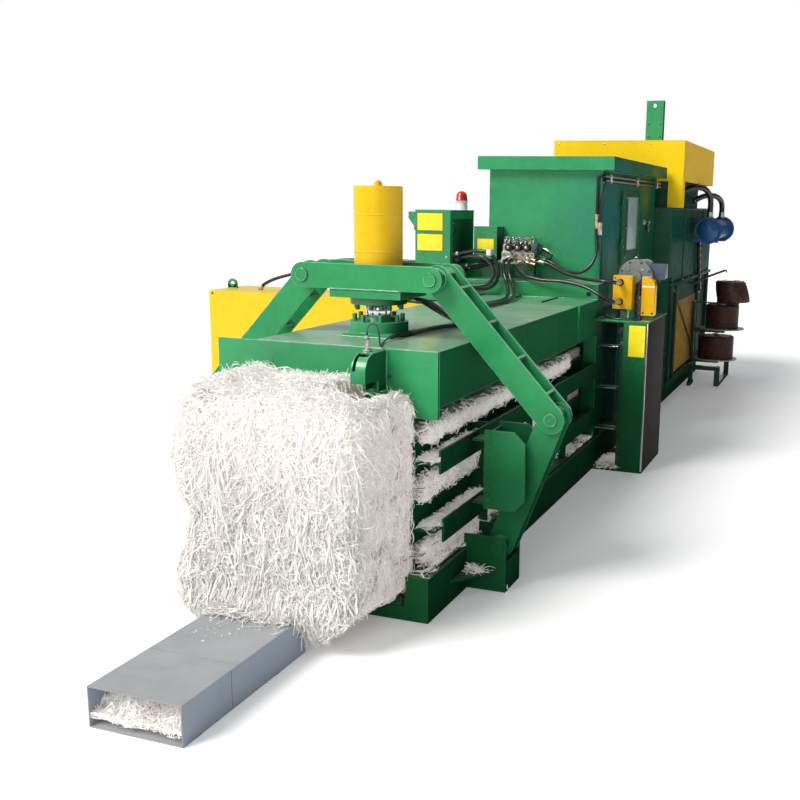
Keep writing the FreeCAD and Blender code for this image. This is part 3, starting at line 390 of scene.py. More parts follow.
class Piece:
    """Collects many small solids of one assembly into one mesh that rides on a body."""

    def __init__(self, name, body, mats, bevel=0.0):
        self.name, self.body, self.mats, self.bevel = name, body, mats, bevel
        self.v, self.f, self.m, self.s = [], [], [], []

    def add(self, verts, faces, mat=0, smooth=False):
        o = len(self.v)
        self.v += [tuple(p) for p in verts]
        for f in faces:
            self.f.append(tuple(i + o for i in f))
            self.m.append(mat)
            self.s.append(smooth)
        return self

    def box(self, lo, hi, mat=0, c=0.0):
        (a, b, d), (e, f, g) = lo, hi
        if c <= 0:
            vs = [(a, b, d), (e, b, d), (e, f, d), (a, f, d), (a, b, g), (e, b, g), (e, f, g), (a, f, g)]
            fs = [(0, 3, 2, 1), (4, 5, 6, 7), (0, 1, 5, 4), (1, 2, 6, 5), (2, 3, 7, 6), (3, 0, 4, 7)]
            return self.add(vs, fs, mat)
        bm = bmesh.new()
        bmesh.ops.create_cube(bm, size=1)
        for v in bm.verts:
            v.co = Vector(((a + e) / 2 + v.co.x * (e - a), (b + f) / 2 + v.co.y * (f - b), (d + g) / 2 + v.co.z * (g - d)))
        bmesh.ops.bevel(bm, geom=list(bm.edges), offset=c, segments=2, profile=0.6, affect="EDGES")
        bm.verts.ensure_lookup_table()
        for i, v in enumerate(bm.verts):
            v.index = i
        vs = [v.co.copy() for v in bm.verts]
        fs = [[v.index for v in f2.verts] for f2 in bm.faces]
        bm.free()
        return self.add(vs, fs, mat, True)

    def cyl(self, p, q, r, r2=None, seg=24, mat=0, c=0.0, cap=True):
        p, q = Vector(p), Vector(q)
        d, u, w = axes(q - p)
        r2 = r if r2 is None else r2
        L = (q - p).length
        prof = [(0, r), (L, r2)]
        if c > 0:
            prof = [(0, r - c), (c, r), (L - c, r2), (L, r2 - c)]
        return self.lathe(p, d, prof, seg, mat, cap)

    def lathe(self, p, d, prof, seg=24, mat=0, cap=True):
        p = Vector(p)
        d, u, w = axes(d)
        vs, fs = [], []
        n = len(prof)
        for h, r in prof:
            for k in range(seg):
                t = 2 * math.pi * k / seg
                vs.append(p + d * h + (u * math.cos(t) + w * math.sin(t)) * r)
        for i in range(n - 1):
            for k in range(seg):
                a, b = i * seg + k, i * seg + (k + 1) % seg
                fs.append((a, b, b + seg, a + seg))
        if cap:
            fs.append(tuple(range(seg - 1, -1, -1)))
            fs.append(tuple((n - 1) * seg + k for k in range(seg)))
        return self.add(vs, fs, mat, True)

    def prism(self, plane, pts, lo, hi, mat=0):
        """Flat plate cut to an outline; plane names the outline's two axes."""
        n = len(pts)
        place = {"XZ": lambda p, h: (p[0], h, p[1]), "YZ": lambda p, h: (h, p[0], p[1]), "XY": lambda p, h: (p[0], p[1], h)}[plane]
        vs = [place(p, lo) for p in pts] + [place(p, hi) for p in pts]
        turn = sum(pts[i][0] * pts[(i + 1) % n][1] - pts[(i + 1) % n][0] * pts[i][1] for i in range(n))
        idx = list(range(n)) if (turn > 0) != (plane == "XZ") else list(range(n))[::-1]
        fs = [tuple(n + i for i in idx), tuple(reversed(idx))]
        for k in range(n):
            a, b = idx[k], idx[(k + 1) % n]
            fs.append((a, b, b + n, a + n))
        return self.add(vs, fs, mat)

    def hexa(self, p, d, r, h, mat=0, washer=True):
        """Hexagon screw head of height h on a washer, standing on point p."""
        p = Vector(p)
        d = Vector(d).normalized()
        if washer:
            self.cyl(p, p + d * h * 0.18, r * 1.28, seg=18, mat=mat, c=h * 0.04)
            p = p + d * h * 0.18
        self.lathe(p, d, [(0, r), (h * 0.85, r), (h, r * 0.86)], 6, mat)
        return self

    def tube(self, pts, r, seg=10, mat=0, radii=None, cap=True):
        P = [Vector(p) for p in pts]
        n = len(P)
        if n < 2:
            return self
        T = [(P[min(i + 1, n - 1)] - P[max(i - 1, 0)]).normalized() for i in range(n)]
        d, u, w = axes(T[0])
        vs, fs = [], []
        for i in range(n):
            u = (u - T[i] * u.dot(T[i])).normalized()
            w = T[i].cross(u)
            rr = radii[i] if radii is not None else r
            for k in range(seg):
                t = 2 * math.pi * k / seg
                vs.append(P[i] + (u * math.cos(t) + w * math.sin(t)) * rr)
        for i in range(n - 1):
            for k in range(seg):
                a, b = i * seg + k, i * seg + (k + 1) % seg
                fs.append((a, b, b + seg, a + seg))
        if cap:
            fs.append(tuple(range(seg - 1, -1, -1)))
            fs.append(tuple((n - 1) * seg + k for k in range(seg)))
        return self.add(vs, fs, mat, True)

    def torus(self, c, d, R, r, seg=32, sub=10, mat=0, arc=1.0, start=0.0):
        d, u, w = axes(d)
        c = Vector(c)
        pts = [c + (u * math.cos(2 * math.pi * (start + arc * k / seg)) + w * math.sin(2 * math.pi * (start + arc * k / seg))) * R for k in range(seg + 1)]
        return self.tube(pts, r, sub, mat)

    def weld(self, p, q, r=0.005, mat=0, step=0.011):
        """A run of weld bead with its ripples between two points."""
        p, q = Vector(p), Vector(q)
        n = max(3, int((q - p).length / step))
        d, u, w = axes(q - p)
        pts, rad = [], []
        for i in range(n + 1):
            t = i / n
            j = rng.normal(0, r * 0.12, 2)
            pts.append(p.lerp(q, t) + u * j[0] + w * j[1])
            rad.append(r * (1.0 + 0.16 * (1 if i % 2 else -1) + rng.normal(0, 0.07)))
        return self.tube(pts, r, 6, mat, rad)

    def done(self, angle=38, replaces=()):
        me = bpy.data.meshes.new(self.name)
        me.from_pydata([tuple(p) for p in self.v], [], self.f)
        for m in self.mats:
            me.materials.append(m)
        me.polygons.foreach_set("material_index", self.m)
        me.polygons.foreach_set("use_smooth", [True] * len(self.f))
        me.update()
        me.set_sharp_from_angle(angle=math.radians(angle))
        ob = bpy.data.objects.new(self.name, me)
        bpy.context.scene.collection.objects.link(ob)
        if self.bevel > 0:
            md = ob.modifiers.new("edge", "BEVEL")
            md.width = self.bevel
            md.segments = 2
            md.limit_method = "ANGLE"
            md.angle_limit = math.radians(40)
        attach(ob, self.body)
        if replaces:
            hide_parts(*replaces)
        return ob


def spline(points, per=8):
    """Smooth curve through the given points, for rigid pipes and held hoses."""
    P = [Vector(p) for p in points]
    P = [P[0] + (P[0] - P[1])] + P + [P[-1] + (P[-1] - P[-2])]
    out = []
    for i in range(1, len(P) - 2):
        a, b, c, d = P[i - 1:i + 3]
        for k in range(per):
            t = k / per
            out.append(0.5 * ((2 * b) + (c - a) * t + (2 * a - 5 * b + 4 * c - d) * t * t + (3 * b - a - 3 * c + d) * t * t * t))
    out.append(P[-2])
    return out


# ---------------------------------------------------------------- finish of the carried-over nodes
FIN = {
    "base_frame": green_low, "side_rails_right": green_low, "side_rails_left": green_low,
    "lever_bracket_right": green_low, "lever_bracket_left": green_low,
    "guide_plates_right": green, "guide_plates_left": green,
    "portal_frame": green, "feed_chamber": green_deep, "hopper": green_hopper, "access_door": green_hopper,
    "rear_housing": green_deep, "rear_cover": yellow_rear, "mast": green, "main_cylinder": green_deep,
    "oil_cooler": blue, "twister_post": green_low, "twister_shelf": green, "twister_bar": green_deep, "guide_rods": steel,
    "twister_motor": cast, "drive_cover_left": amber, "drive_cover_right": amber, "needle_cover": yellow_pale,
    "needle_track": green_low, "control_cabinet": green_cab, "cabinet_door": green_cab, "junction_box": green_cab,
    "warning_beacon": white_plastic, "valve_manifold": zinc, "valve_hoses": rubber, "press_hoses": rubber, "cooler_hoses": rubber,
    "chute": grey, "spool_rack": dark_panel, "wire_spool_upper": wire, "wire_spool_lower": wire, "wire_spool_middle": wire,
    "hopper_pipes": black_steel, "yoke": green_bright, "yoke_pins": green_bright, "press_cylinder": yellow,
    "flange_screws_upper": green_low, "flange_screws_lower": green_low, "top_press_plate": green_plate, "press_rod": green,
    "sensor_bracket": green, "arm_right": green_bright, "arm_left": green_bright, "elbow_pin_right": green_bright, "elbow_pin_left": green_bright,
    "lever_right": green, "lever_left": green, "ram_platen": green_deep, "ram_rod": chrome,
    "door_handle": steel, "needle_carriage": dark_steel, "needles": steel, "twister_shaft": dark_steel, "paper_bale": paper_core_painted_shade,
}
for n, o in NODES.items():
    o.data.materials.clear()
    o.data.materials.append(FIN.get(n, green))

# pale green for small lit faces on the arm ribs: a painted highlight
green_painted_highlight = paint("green_painted_edge_highlight", (0.30, 0.55, 0.40), edge=(0.75, 0.85, 0.78), dirt=0.15, coat=0.3)


def second_finish(node, mat, test):
    """Gives the faces of a node that pass the test another finish; the mesh itself stays as it is."""
    o = NODES[node]
    o.data.materials.append(mat)
    k = len(o.data.materials) - 1
    for f in o.data.polygons:
        if test(f):
            f.material_index = k


# small arm faces turned up and outwards get the pale green: a painted highlight of edges catching the light
for q, nd in ((1, "arm_right"), (-1, "arm_left")):
    second_finish(nd, green_painted_highlight, lambda f, q=q: f.normal.x * q > 0.35 and f.normal.z > 0.45 and abs(f.normal.y) < 0.2 and f.area < 0.022)
second_finish("drive_cover_left", dark_panel, lambda f: f.center.z < 1.664)
second_finish("drive_cover_right", green_low, lambda f: f.center.z < 1.598)

# ---------------------------------------------------------------- shredded paper
def rbox(P, c, b, r):
    q = np.abs(P - c) - (b - r)
    out = np.maximum(q, 0)
    d = np.linalg.norm(out, axis=1) + np.minimum(q.max(axis=1), 0) - r
    s = np.where(P - c >= 0, 1.0, -1.0)
    g = out * s
    n = np.linalg.norm(g, axis=1, keepdims=True)
    idx = q.argmax(axis=1)
    gi = np.zeros_like(P)
    gi[np.arange(len(P)), idx] = s[np.arange(len(P)), idx]
    return d, np.where(n > 1e-9, g / np.maximum(n, 1e-9), gi)


def lump(P, a=0.02, k=5.0, ph=0.0):
    x, y, z = P[:, 0] * k + ph, P[:, 1] * k + ph * 1.7, P[:, 2] * k - ph
    return a * (np.sin(x + 1.3 * np.sin(z * 0.7 + 1)) * np.cos(z + 0.6 * np.sin(y + x * 0.5)) + 0.6 * np.sin(2.3 * z + 1.1 * np.sin(1.9 * x + y)) * np.cos(1.7 * y + 0.4 * x)
                + 0.35 * np.sin(4.7 * x + 2.0 * np.sin(3.1 * z)) * np.sin(4.1 * z + y))


BC, BB, BR = np.array([0.0, -0.435, 0.80]), np.array([0.595, 0.425, 0.705]), 0.10


def bale(P):
    """Outer surface of the bale that has been pushed out: a rounded block with sags and bulges."""
    d, g = rbox(P, BC, BB, BR)
    x, y, z = P[:, 0], P[:, 1], P[:, 2]
    # the lower right edge has been cut away along the machine
    pd = 0.7071 * x - 0.7071 * z - 0.160 - 0.10 * np.clip((y + 0.85) / 0.5, 0, 1) + 0.010 * np.sin(11 * y) * np.sin(7 * z + 2)
    sw = pd > d
    d = np.where(sw, pd, d)
    g = np.where(sw[:, None], np.array([0.7071, 0.0, -0.7071]), g)
    left = np.clip((-x - 0.35) / 0.2, 0, 1)
    right = np.clip((x - 0.35) / 0.2, 0, 1)
    top = np.clip((z - 1.40) / 0.10, 0, 1)
    D = lump(P, 0.012, 5.2)
    D += left * (0.034 * np.exp(-((z - 1.07) / 0.20) ** 2) + 0.058 * np.exp(-((z - 0.43) / 0.12) ** 2) - 0.040 * np.exp(-((z - 0.78) / 0.12) ** 2))
    D += right * (-0.022 + 0.006 * np.sin(z * 9))
    rise = np.clip((x - 0.34) / 0.2, 0, 1)
    D += top * (0.004 + 0.012 * np.exp(-((x + 0.15) / 0.3) ** 2) + 0.020 * np.exp(-((x - 0.15) / 0.12) ** 2) - 0.070 * rise + 0.055 * np.exp(-((x + 0.56) / 0.13) ** 2) + 0.02 * (y + 0.4))
    front = np.clip((-y - 0.55) / 0.2, 0, 1)
    D += front * (0.045 * np.exp(-((z - 0.25) / 0.09) ** 2) + 0.020 * np.exp(-((z - 1.2) / 0.16) ** 2) + 0.012 * np.sin(6.1 * x + 1.0) * np.sin(5.0 * z))
    # room for the switch bracket, which comes down with the plate
    D -= top * 0.100 * np.exp(-((x - 0.32) / 0.10) ** 4) * np.clip((y + 0.42) / 0.10, 0, 1)
    low = np.clip((0.35 - z) / 0.3, 0, 1)
    D += -0.03 * low * np.clip((y + 0.2) / 0.5 + 0.5, 0, 1)
    return d - D, g


def norm(a):
    return a / np.maximum(np.linalg.norm(a, axis=1, keepdims=True), 1e-9)


def flow(P, g):
    """Direction in which the strands hang: downwards, combed to and fro in broad locks."""
    x, y, z = P[:, 0], P[:, 1], P[:, 2]
    a = 0.62 * np.sin(2.9 * x + 1.7 * np.sin(2.1 * z + 0.5) + 2.3 * y + 0.6) + 0.42 * np.sin(5.3 * z + 2.4 * x + 2.0 * np.sin(3.7 * x)) + 0.25 * np.sin(13 * x + 3 * z) * np.sin(9 * z)
    down = np.zeros_like(P)
    down[:, 2] = -1
    t = norm(down - (down * g).sum(1, keepdims=True) * g + 1e-6)
    u = np.cross(g, t)
    return t * np.cos(a)[:, None] + u * np.sin(a)[:, None]


def shreds(name, body, mat, fn, starts, heading, n_seg, length, width, height, wander=0.35, grav=0.0, tip=0.0, tipfrac=0.1,
           bundle=None, tone=(0.0, 1.0), twist=1.4, floor=None, arch=0.012, replaces=(), limit=None, comb=0.0):
    """Paper strips that walk over a surface, some lying flat and some lifting off at the tip."""
    n = len(starts)
    P = starts.copy()
    d, g = fn(P)
    h0 = rng.uniform(height[0], height[1], n)
    if bundle is not None:
        h0 = rng.uniform(height[0], height[1], bundle.max() + 1)[bundle] + rng.normal(0, 0.0035, n)
    P = P - (d - h0)[:, None] * g
    L = np.exp(rng.normal(math.log(length), 0.38, n))
    W = np.exp(rng.normal(math.log(width), 0.38, n))
    seg = L / n_seg
    T = heading.copy()
    T = norm(T - (T * g).sum(1, keepdims=True) * g)
    A = rng.normal(0, wander, (n, n_seg))
    curve = rng.normal(0, wander * 0.25, (n, 1))
    A = A + curve
    if bundle is not None:
        BA = rng.normal(0, wander, (bundle.max() + 1, n_seg)) + rng.normal(0, wander * 0.25, (bundle.max() + 1, 1))
        A = BA[bundle] + A * 0.45
    lift = (rng.random(n) < tipfrac) * rng.uniform(0.3, 1.0, n) * tip
    ar = rng.normal(0, arch, n)
    ph = rng.uniform(0, 1, n)
    f0, f1 = rng.normal(0, 0.55, n), rng.normal(0, twist, n)
    wob = rng.uniform(0, 6.28, n)
    rows = []
    down = np.array([0, 0, -1.0])
    for k in range(n_seg + 1):
        t = k / n_seg
        side = norm(np.cross(T, g))
        a = f0 + f1 * t + 0.4 * np.sin(wob + 5 * t)
        w = side * np.cos(a)[:, None] + g * np.sin(a)[:, None]
        taper = 1.0 if 0 < k < n_seg else 0.8
        hw = (W * 0.5 * taper)[:, None]
        rows.append((P - w * hw, P + w * hw))
        if k == n_seg:
            break
        c, s = np.cos(A[:, k])[:, None], np.sin(A[:, k])[:, None]
        T = T * c + np.cross(g, T) * s
        if comb > 0:
            T = T * (1 - comb) + flow(P, g) * comb
        T = T + down * (grav if np.isscalar(grav) else grav[:, None])
        T = norm(T - (T * g).sum(1, keepdims=True) * g)
        P = P + T * seg[:, None]
        d, g = fn(P)
        t2 = (k + 1) / n_seg
        h = h0 + np.maximum(ar * np.sin(math.pi * t2 + ph), -0.6 * h0) + lift * t2 * t2
        P = P - (d - h)[:, None] * g
        if floor is not None:
            P[:, 2] = np.maximum(P[:, 2], floor)
        if limit is not None:
            lo, hi = limit
            P = np.minimum(np.maximum(P, lo), hi)
    m = n_seg + 1
    V = np.empty((n, m, 2, 3), np.float32)
    for k, (a, b) in enumerate(rows):
        V[:, k, 0], V[:, k, 1] = a, b
    if floor is not None:
        V[..., 2] = np.maximum(V[..., 2], floor)
    if limit is not None:
        V = np.minimum(np.maximum(V, np.asarray(limit[0], np.float32)), np.asarray(limit[1], np.float32))
    base = (np.arange(n) * m * 2)[:, None]
    k = np.arange(n_seg)[None, :]
    q = np.stack([base + 2 * k, base + 2 * k + 1, base + 2 * k + 3, base + 2 * k + 2], axis=2).reshape(-1, 4)
    me = bpy.data.meshes.new(name)
    me.vertices.add(n * m * 2)
    me.vertices.foreach_set("co", V.reshape(-1))
    me.loops.add(len(q) * 4)
    me.loops.foreach_set("vertex_index", q.reshape(-1).astype(np.int32))
    me.polygons.add(len(q))
    me.polygons.foreach_set("loop_start", (np.arange(len(q)) * 4).astype(np.int32))
    me.polygons.foreach_set("use_smooth", np.ones(len(q), bool))
    me.update(calc_edges=True)
    t1 = rng.uniform(tone[0], tone[1], n) ** 1.5
    if bundle is not None:
        t1 = np.clip(0.6 * rng.uniform(tone[0], tone[1], bundle.max() + 1)[bundle] + 0.5 * t1, 0, 1)
    t2 = (rng.random(n) < 0.012) * rng.uniform(0.3, 0.9, n)
    C = np.zeros((n, m * 2, 4), np.float32)
    C[:, :, 0] = t1[:, None]
    C[:, :, 1] = t2[:, None]
    C[:, :, 3] = 1
    ca = me.color_attributes.new("tone", "FLOAT_COLOR", "POINT")
    ca.data.foreach_set("color", C.reshape(-1))
    me.materials.append(mat)
    ob = bpy.data.objects.new(name, me)
    bpy.context.scene.collection.objects.link(ob)
    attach(ob, body)
    if replaces:
        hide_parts(*replaces)
    return ob


def heads(n, base, spread):
    """Unit directions spread about base by spread radians in a plane-free way."""
    v = np.tile(np.array(base, float), (n, 1)) + rng.normal(0, spread, (n, 3))
    return norm(v)


def bundles(n, size):
    return rng.integers(0, max(1, n // size), n)


def bale_points(n, where):
    """Start points on one side of the bale."""
    x0, x1 = -0.60, 0.60
    y0, y1 = -0.86, -0.02
    z0, z1 = 0.10, 1.50
    u, v = rng.random(n), rng.random(n)
    if where == "front":
        return np.stack([x0 + (x1 - x0) * u, np.full(n, y0), z0 + (z1 - z0) * v], 1)
    if where == "right":
        return np.stack([np.full(n, x1), y0 + (y1 - y0) * u, z0 + (z1 - z0) * v], 1)
    if where == "left":
        return np.stack([np.full(n, x0), y0 + (y1 - y0) * u, z0 + (z1 - z0) * v], 1)
    return np.stack([x0 + (x1 - x0) * u, y0 + (y1 - y0 - 0.02) * v, np.full(n, z1)], 1)


def clump(n, where, size, spread, base, dirspread):
    """Points and headings in bundles of size strips that start close together."""
    k = max(1, n // size)
    c = bale_points(k, where)
    hd = heads(k, base, dirspread)
    idx = rng.integers(0, k, n)
    P = c[idx] + rng.normal(0, spread, (n, 3)) * np.array([1, 1, 1.3])
    return P, norm(hd[idx] + rng.normal(0, 0.16, (n, 3))), idx


def build_core():
    """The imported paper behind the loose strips, and the column still in the channel."""
    bm = bmesh.new()

    def block(lo, hi, step, fn=None, amp=0.006, ph=0.0):
        lo, hi = np.array(lo), np.array(hi)
        for ax in range(3):
            for sgn in (0, 1):
                u, v = (ax + 1) % 3, (ax + 2) % 3
                nu = max(1, int((hi[u] - lo[u]) / step))
                nv = max(1, int((hi[v] - lo[v]) / step))
                grid = []
                U, Vv = np.meshgrid(np.linspace(lo[u], hi[u], nu + 1), np.linspace(lo[v], hi[v], nv + 1), indexing="ij")
                Pt = np.zeros((U.size, 3))
                Pt[:, u], Pt[:, v] = U.ravel(), Vv.ravel()
                Pt[:, ax] = hi[ax] if sgn else lo[ax]
                if fn is not None:
                    for _ in range(3):
                        d, g = fn(Pt)
                        Pt = Pt - (d + 0.012)[:, None] * g
                else:
                    nrm = np.zeros(3)
                    nrm[ax] = 1 if sgn else -1
                    Pt = Pt + nrm * (lump(Pt, amp, 23, ph) - amp)[:, None]
                vs = [bm.verts.new(p) for p in Pt]
                for i in range(nu):
                    for j in range(nv):
                        q = [vs[i * (nv + 1) + j], vs[(i + 1) * (nv + 1) + j], vs[(i + 1) * (nv + 1) + j + 1], vs[i * (nv + 1) + j + 1]]
                        bm.faces.new(q if sgn else q[::-1])

    block((-0.59, -0.85, 0.10), (0.59, -0.02, 1.50), 0.05, bale)
    block((-0.570, -0.03, 0.097), (0.570, 4.148, 1.258), 0.09)
    for s in (1, -1):
        X = lambda a, b: (a, b) if s > 0 else (-b, -a)
        a, b = X(0.55, 0.655)
        block((a, 0.03, 1.172), (b, 3.38, 1.250), 0.045, None, 0.012, 1.0)
        for k, (p, q) in enumerate(((-0.004, 0.985), (1.032, 2.066), (2.112, 3.146))):
            a, b = X(0.55, 0.635)
            block((a, p, 0.765), (b, q, 0.918), 0.045, None, 0.010, 2.0 + k)
            a, b = X(0.55, 0.622)
            block((a, p, 0.346), (b, q, 0.455), 0.045, None, 0.010, 5.0 + k)
    me = bpy.data.meshes.new("bale_core")
    bm.to_mesh(me)
    bm.free()
    # the core's darker colour is painted shade between the strips
    me.materials.append(paper_core_painted_shade)
    me.polygons.foreach_set("use_smooth", [True] * len(me.polygons))
    ob = bpy.data.objects.new("bale_core", me)
    bpy.context.scene.collection.objects.link(ob)
    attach(ob, "frame")
    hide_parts("paper_bale")


build_core()


def block_fn(boxes, amp=0.012, k=23.0):
    """Surface of a row of packed bulges, as a distance with its outward direction."""
    bx = [(np.array([(a + b) / 2, (c + d) / 2, (e + f) / 2]), np.array([(b - a) / 2, (d - c) / 2, (f - e) / 2])) for a, b, c, d, e, f in boxes]

    def fn(P):
        best = np.full(len(P), 1e9)
        g = np.zeros_like(P)
        for c, h in bx:
            dd, gg = rbox(P, c, h, 0.02)
            m = dd < best
            best = np.where(m, dd, best)
            g[m] = gg[m]
        return best - lump(P, amp, k, 1.0), g
    return fn


def flat_fn(z):
    def fn(P):
        g = np.zeros_like(P)
        g[:, 2] = 1
        return P[:, 2] - z, g
    return fn


def paper_front():
    for k in range(2):
        n = 7400
        P, H, idx = clump(n, "front", 18, 0.020, (0.03, 0, -1), 0.75)
        shreds("bale_front_locks_%d" % k, "frame", paper, bale, P, H, 7, 0.165, 0.0058, (-0.004, 0.040), wander=0.34, grav=0.03, tip=0.045, tipfrac=0.14, bundle=idx, floor=0.065, twist=0.9, comb=0.10)
    n = 7200
    P = bale_points(n, "front")
    shreds("bale_front_loose", "frame", paper, bale, P, heads(n, (0, 0, -0.5), 0.9), 7, 0.115, 0.0050, (0.010, 0.046), wander=0.42, grav=0.03, tip=0.06, tipfrac=0.22, floor=0.065, comb=0.06)
    # a few long locks hanging straight down over the rest
    n = 1100
    P, H, idx = clump(n, "front", 22, 0.013, (0.02, 0, -1), 0.16)
    shreds("bale_front_hanging", "frame", paper, bale, P, H, 9, 0.30, 0.0062, (0.030, 0.050), wander=0.10, grav=0.10, tip=0.03, tipfrac=0.2, bundle=idx, floor=0.065, twist=0.7)


def paper_sides():
    n = 6800
    P, H, idx = clump(n, "right", 10, 0.026, (0, -0.2, -0.6), 0.9)
    shreds("bale_right_strips", "frame", paper_low, bale, P, H, 6, 0.105, 0.0052, (-0.010, 0.020), wander=0.36, grav=0.05, tip=0.02, tipfrac=0.08, bundle=idx, floor=0.03, comb=0.05)
    n = 2400
    P, H, idx = clump(n, "left", 16, 0.024, (0, 0, -1), 0.6)
    shreds("bale_left_strips", "frame", paper_low, bale, P, H, 6, 0.16, 0.0070, (0.0, 0.03), wander=0.18, grav=0.06, tip=0.05, tipfrac=0.15, bundle=idx, floor=0.03, comb=0.25, limit=((-0.80, -1.0, 0.03), (-0.30, -0.030, 1.60)))
    n = 5200
    P = bale_points(n, "top")
    P[: n // 3, 1] = -0.03 - 0.10 * rng.random(n // 3)
    near = (P[:, 0] > 0.12) & (P[:, 0] < 0.52) & (P[:, 1] > -0.52)
    P[near, 1] = -0.56 - 0.26 * rng.random(int(near.sum()))
    shreds("bale_top_strips", "frame", paper, bale, P, heads(n, (0, -0.5, 0), 0.9), 7, 0.12, 0.0060, (0.0, 0.034), wander=0.28, grav=0.02, tip=0.055, tipfrac=0.25, arch=0.018)
    # long strands hanging from the lower front edge, some of them lying on the chute
    n = 900
    u = rng.random(n)
    P = np.stack([-0.58 + 0.86 * u, np.full(n, -0.88), 0.22 + 0.12 * rng.random(n)], 1)
    shreds("bale_fringe", "frame", paper, bale, P, heads(n, (0.05, -0.1, -1), 0.35), 7, 0.17, 0.0060, (0.004, 0.05), wander=0.22, grav=0.25, tip=0.10, tipfrac=0.5, floor=0.035, comb=0.1)
    n = 760
    P = np.stack([-0.325 + 0.555 * rng.random(n), -0.87 - 0.13 * rng.random(n) ** 2.2, np.full(n, 0.232)], 1)
    hd = heads(n, (0.1, -1.0, 0), 0.6)
    hd[:, 2] = 0
    shreds("chute_top_spill", "frame", paper, flat_fn(0.2295), P, norm(hd), 7, 0.115, 0.0066, (0.002, 0.034), wander=0.42, grav=0.0, tip=0.02, tipfrac=0.3, arch=0.016, limit=((-0.334, -1.16, 0.229), (0.240, -0.80, 0.32)))
    n = 46
    P = np.stack([-0.30 + 0.45 * rng.random(n), -1.0 - 0.42 * rng.random(n), np.full(n, 0.230)], 1)
    hd = heads(n, (0.0, 0.2, 0), 1.0)
    hd[:, 2] = 0
    shreds("chute_top_bits", "frame", paper, flat_fn(0.2290), P, norm(hd), 3, 0.018, 0.0055, (0.001, 0.003), wander=0.3, grav=0.0, arch=0.002, limit=((-0.33, -1.6, 0.2285), (0.236, -0.9, 0.24)))


def paper_slots():
    """Paper pressed out through the gaps between the side strips, and scraps lying on the frame."""
    n_top, n_low = 3400, 2300
    for s, tag in ((1, "right"), (-1, "left")):
        X = lambda a, b: (a, b) if s > 0 else (-b, -a)
        top = block_fn([X(0.52, 0.672) + (0.02, 3.40, 1.172, 1.262)], 0.020, 19)
        cnt = n_top if s > 0 else 900
        y = 0.03 + 3.35 * rng.random(cnt) ** 1.35
        P = np.stack([np.full(cnt, s * 0.68), y, 1.165 + 0.10 * rng.random(cnt)], 1)
        shreds("slot_top_" + tag, "frame", paper_low, top, P, heads(cnt, (0.2 * s, 0, -0.6), 0.8), 5, 0.110, 0.0062, (-0.012, 0.026), wander=0.62, grav=0.22, tip=0.035, tipfrac=0.20)
        mids = block_fn([X(0.52, 0.640) + (p, q, 0.765, 0.918) for p, q in ((0.0, 0.985), (1.032, 2.066), (2.112, 3.146))], 0.016, 21)
        cnt = n_low if s > 0 else 700
        y = 3.10 * rng.random(cnt) ** 1.5
        P = np.stack([np.full(cnt, s * 0.645), y, 0.765 + 0.16 * rng.random(cnt)], 1)
        shreds("slot_mid_" + tag, "frame", paper_low, mids, P, heads(cnt, (0.2 * s, 0, -0.5), 0.8), 5, 0.10, 0.0062, (-0.010, 0.022), wander=0.60, grav=0.16, tip=0.04, tipfrac=0.20)
        lows = block_fn([X(0.52, 0.628) + (p, q, 0.346, 0.458) for p, q in ((0.0, 0.985), (1.032, 2.066), (2.112, 3.146))], 0.016, 21)
        y = 3.10 * rng.random(cnt) ** 1.5
        P = np.stack([np.full(cnt, s * 0.635), y, 0.350 + 0.11 * rng.random(cnt)], 1)
        shreds("slot_low_" + tag, "frame", paper_low, lows, P, heads(cnt, (0.2 * s, 0, -0.4), 0.8), 5, 0.10, 0.0062, (-0.010, 0.022), wander=0.60, grav=0.16, tip=0.04, tipfrac=0.20)
        # loose scraps on the rail webs, the side beam and the bracket
        spots = []
        for k in range(46 if s > 0 else 18):
            spots.append((rng.uniform(0.60, 0.72), 0.03 + 0.9 * rng.random() ** 1.6, 1.022, 20))
        for k in range(52 if s > 0 else 16):
            spots.append((rng.uniform(0.60, 0.72), 0.04 + 1.3 * rng.random() ** 1.3, 0.562, 22))
        for k in range(40 if s > 0 else 14):
            spots.append((rng.uniform(0.60, 0.735), 0.02 + 1.4 * rng.random() ** 1.3, 0.317, 20))
        for k in range(9 if s > 0 else 4):
            spots.append((rng.uniform(0.78, 0.93), rng.uniform(0.40, 0.48), 0.160, 8))
        for k in range(16 if s > 0 else 5):
            spots.append((rng.uniform(0.66, 0.755), rng.uniform(-0.15, 0.9), 0.302, 10))
        for k in range(10 if s > 0 else 4):
            spots.append((rng.uniform(0.78, 1.02), rng.uniform(0.53, 0.77), 0.022, 12))
        for k in range(26 if s > 0 else 0):
            spots.append((rng.uniform(0.80, 1.02), rng.uniform(4.10, 4.6), 0.022, 26))
        for k in range(20 if s > 0 else 0):
            spots.append((rng.uniform(0.62, 0.73), rng.uniform(3.2, 4.1), 0.317, 18))
        for z in sorted({q[2] for q in spots}):
            sel = [q for q in spots if q[2] == z]
            idx = np.repeat(np.arange(len(sel)), [q[3] for q in sel])
            C = np.array([[s * q[0], q[1], z] for q in sel])[idx]
            P = C + rng.normal(0, 1, (len(idx), 3)) * np.array([0.016, 0.035, 0.0])
            hd = heads(len(idx), (0, 0.3, 0), 1.0)
            hd[:, 2] = 0
            lo = (-0.735 if s < 0 and z > 0.1 and z not in (0.160, 0.302) else (-1.045 if s < 0 else 0.592), -0.18, z - 0.001)
            hi = (-0.592 if s < 0 else (0.735 if z > 0.1 and z not in (0.160, 0.302) else 1.262), 4.66, z + 0.06)
            if z == 0.302:
                lo, hi = (-0.762 if s < 0 else 0.602, -0.2, z - 0.001), (-0.602 if s < 0 else 0.762, 4.0, z + 0.05)
            shreds("scraps_%s_%d" % (tag, round(z * 1000)), "frame", paper_low, flat_fn(z), P, norm(hd), 5, 0.07, 0.0066, (0.002, 0.026), wander=0.5, grav=0.0, tip=0.02, tipfrac=0.3, arch=0.010, limit=(lo, hi))


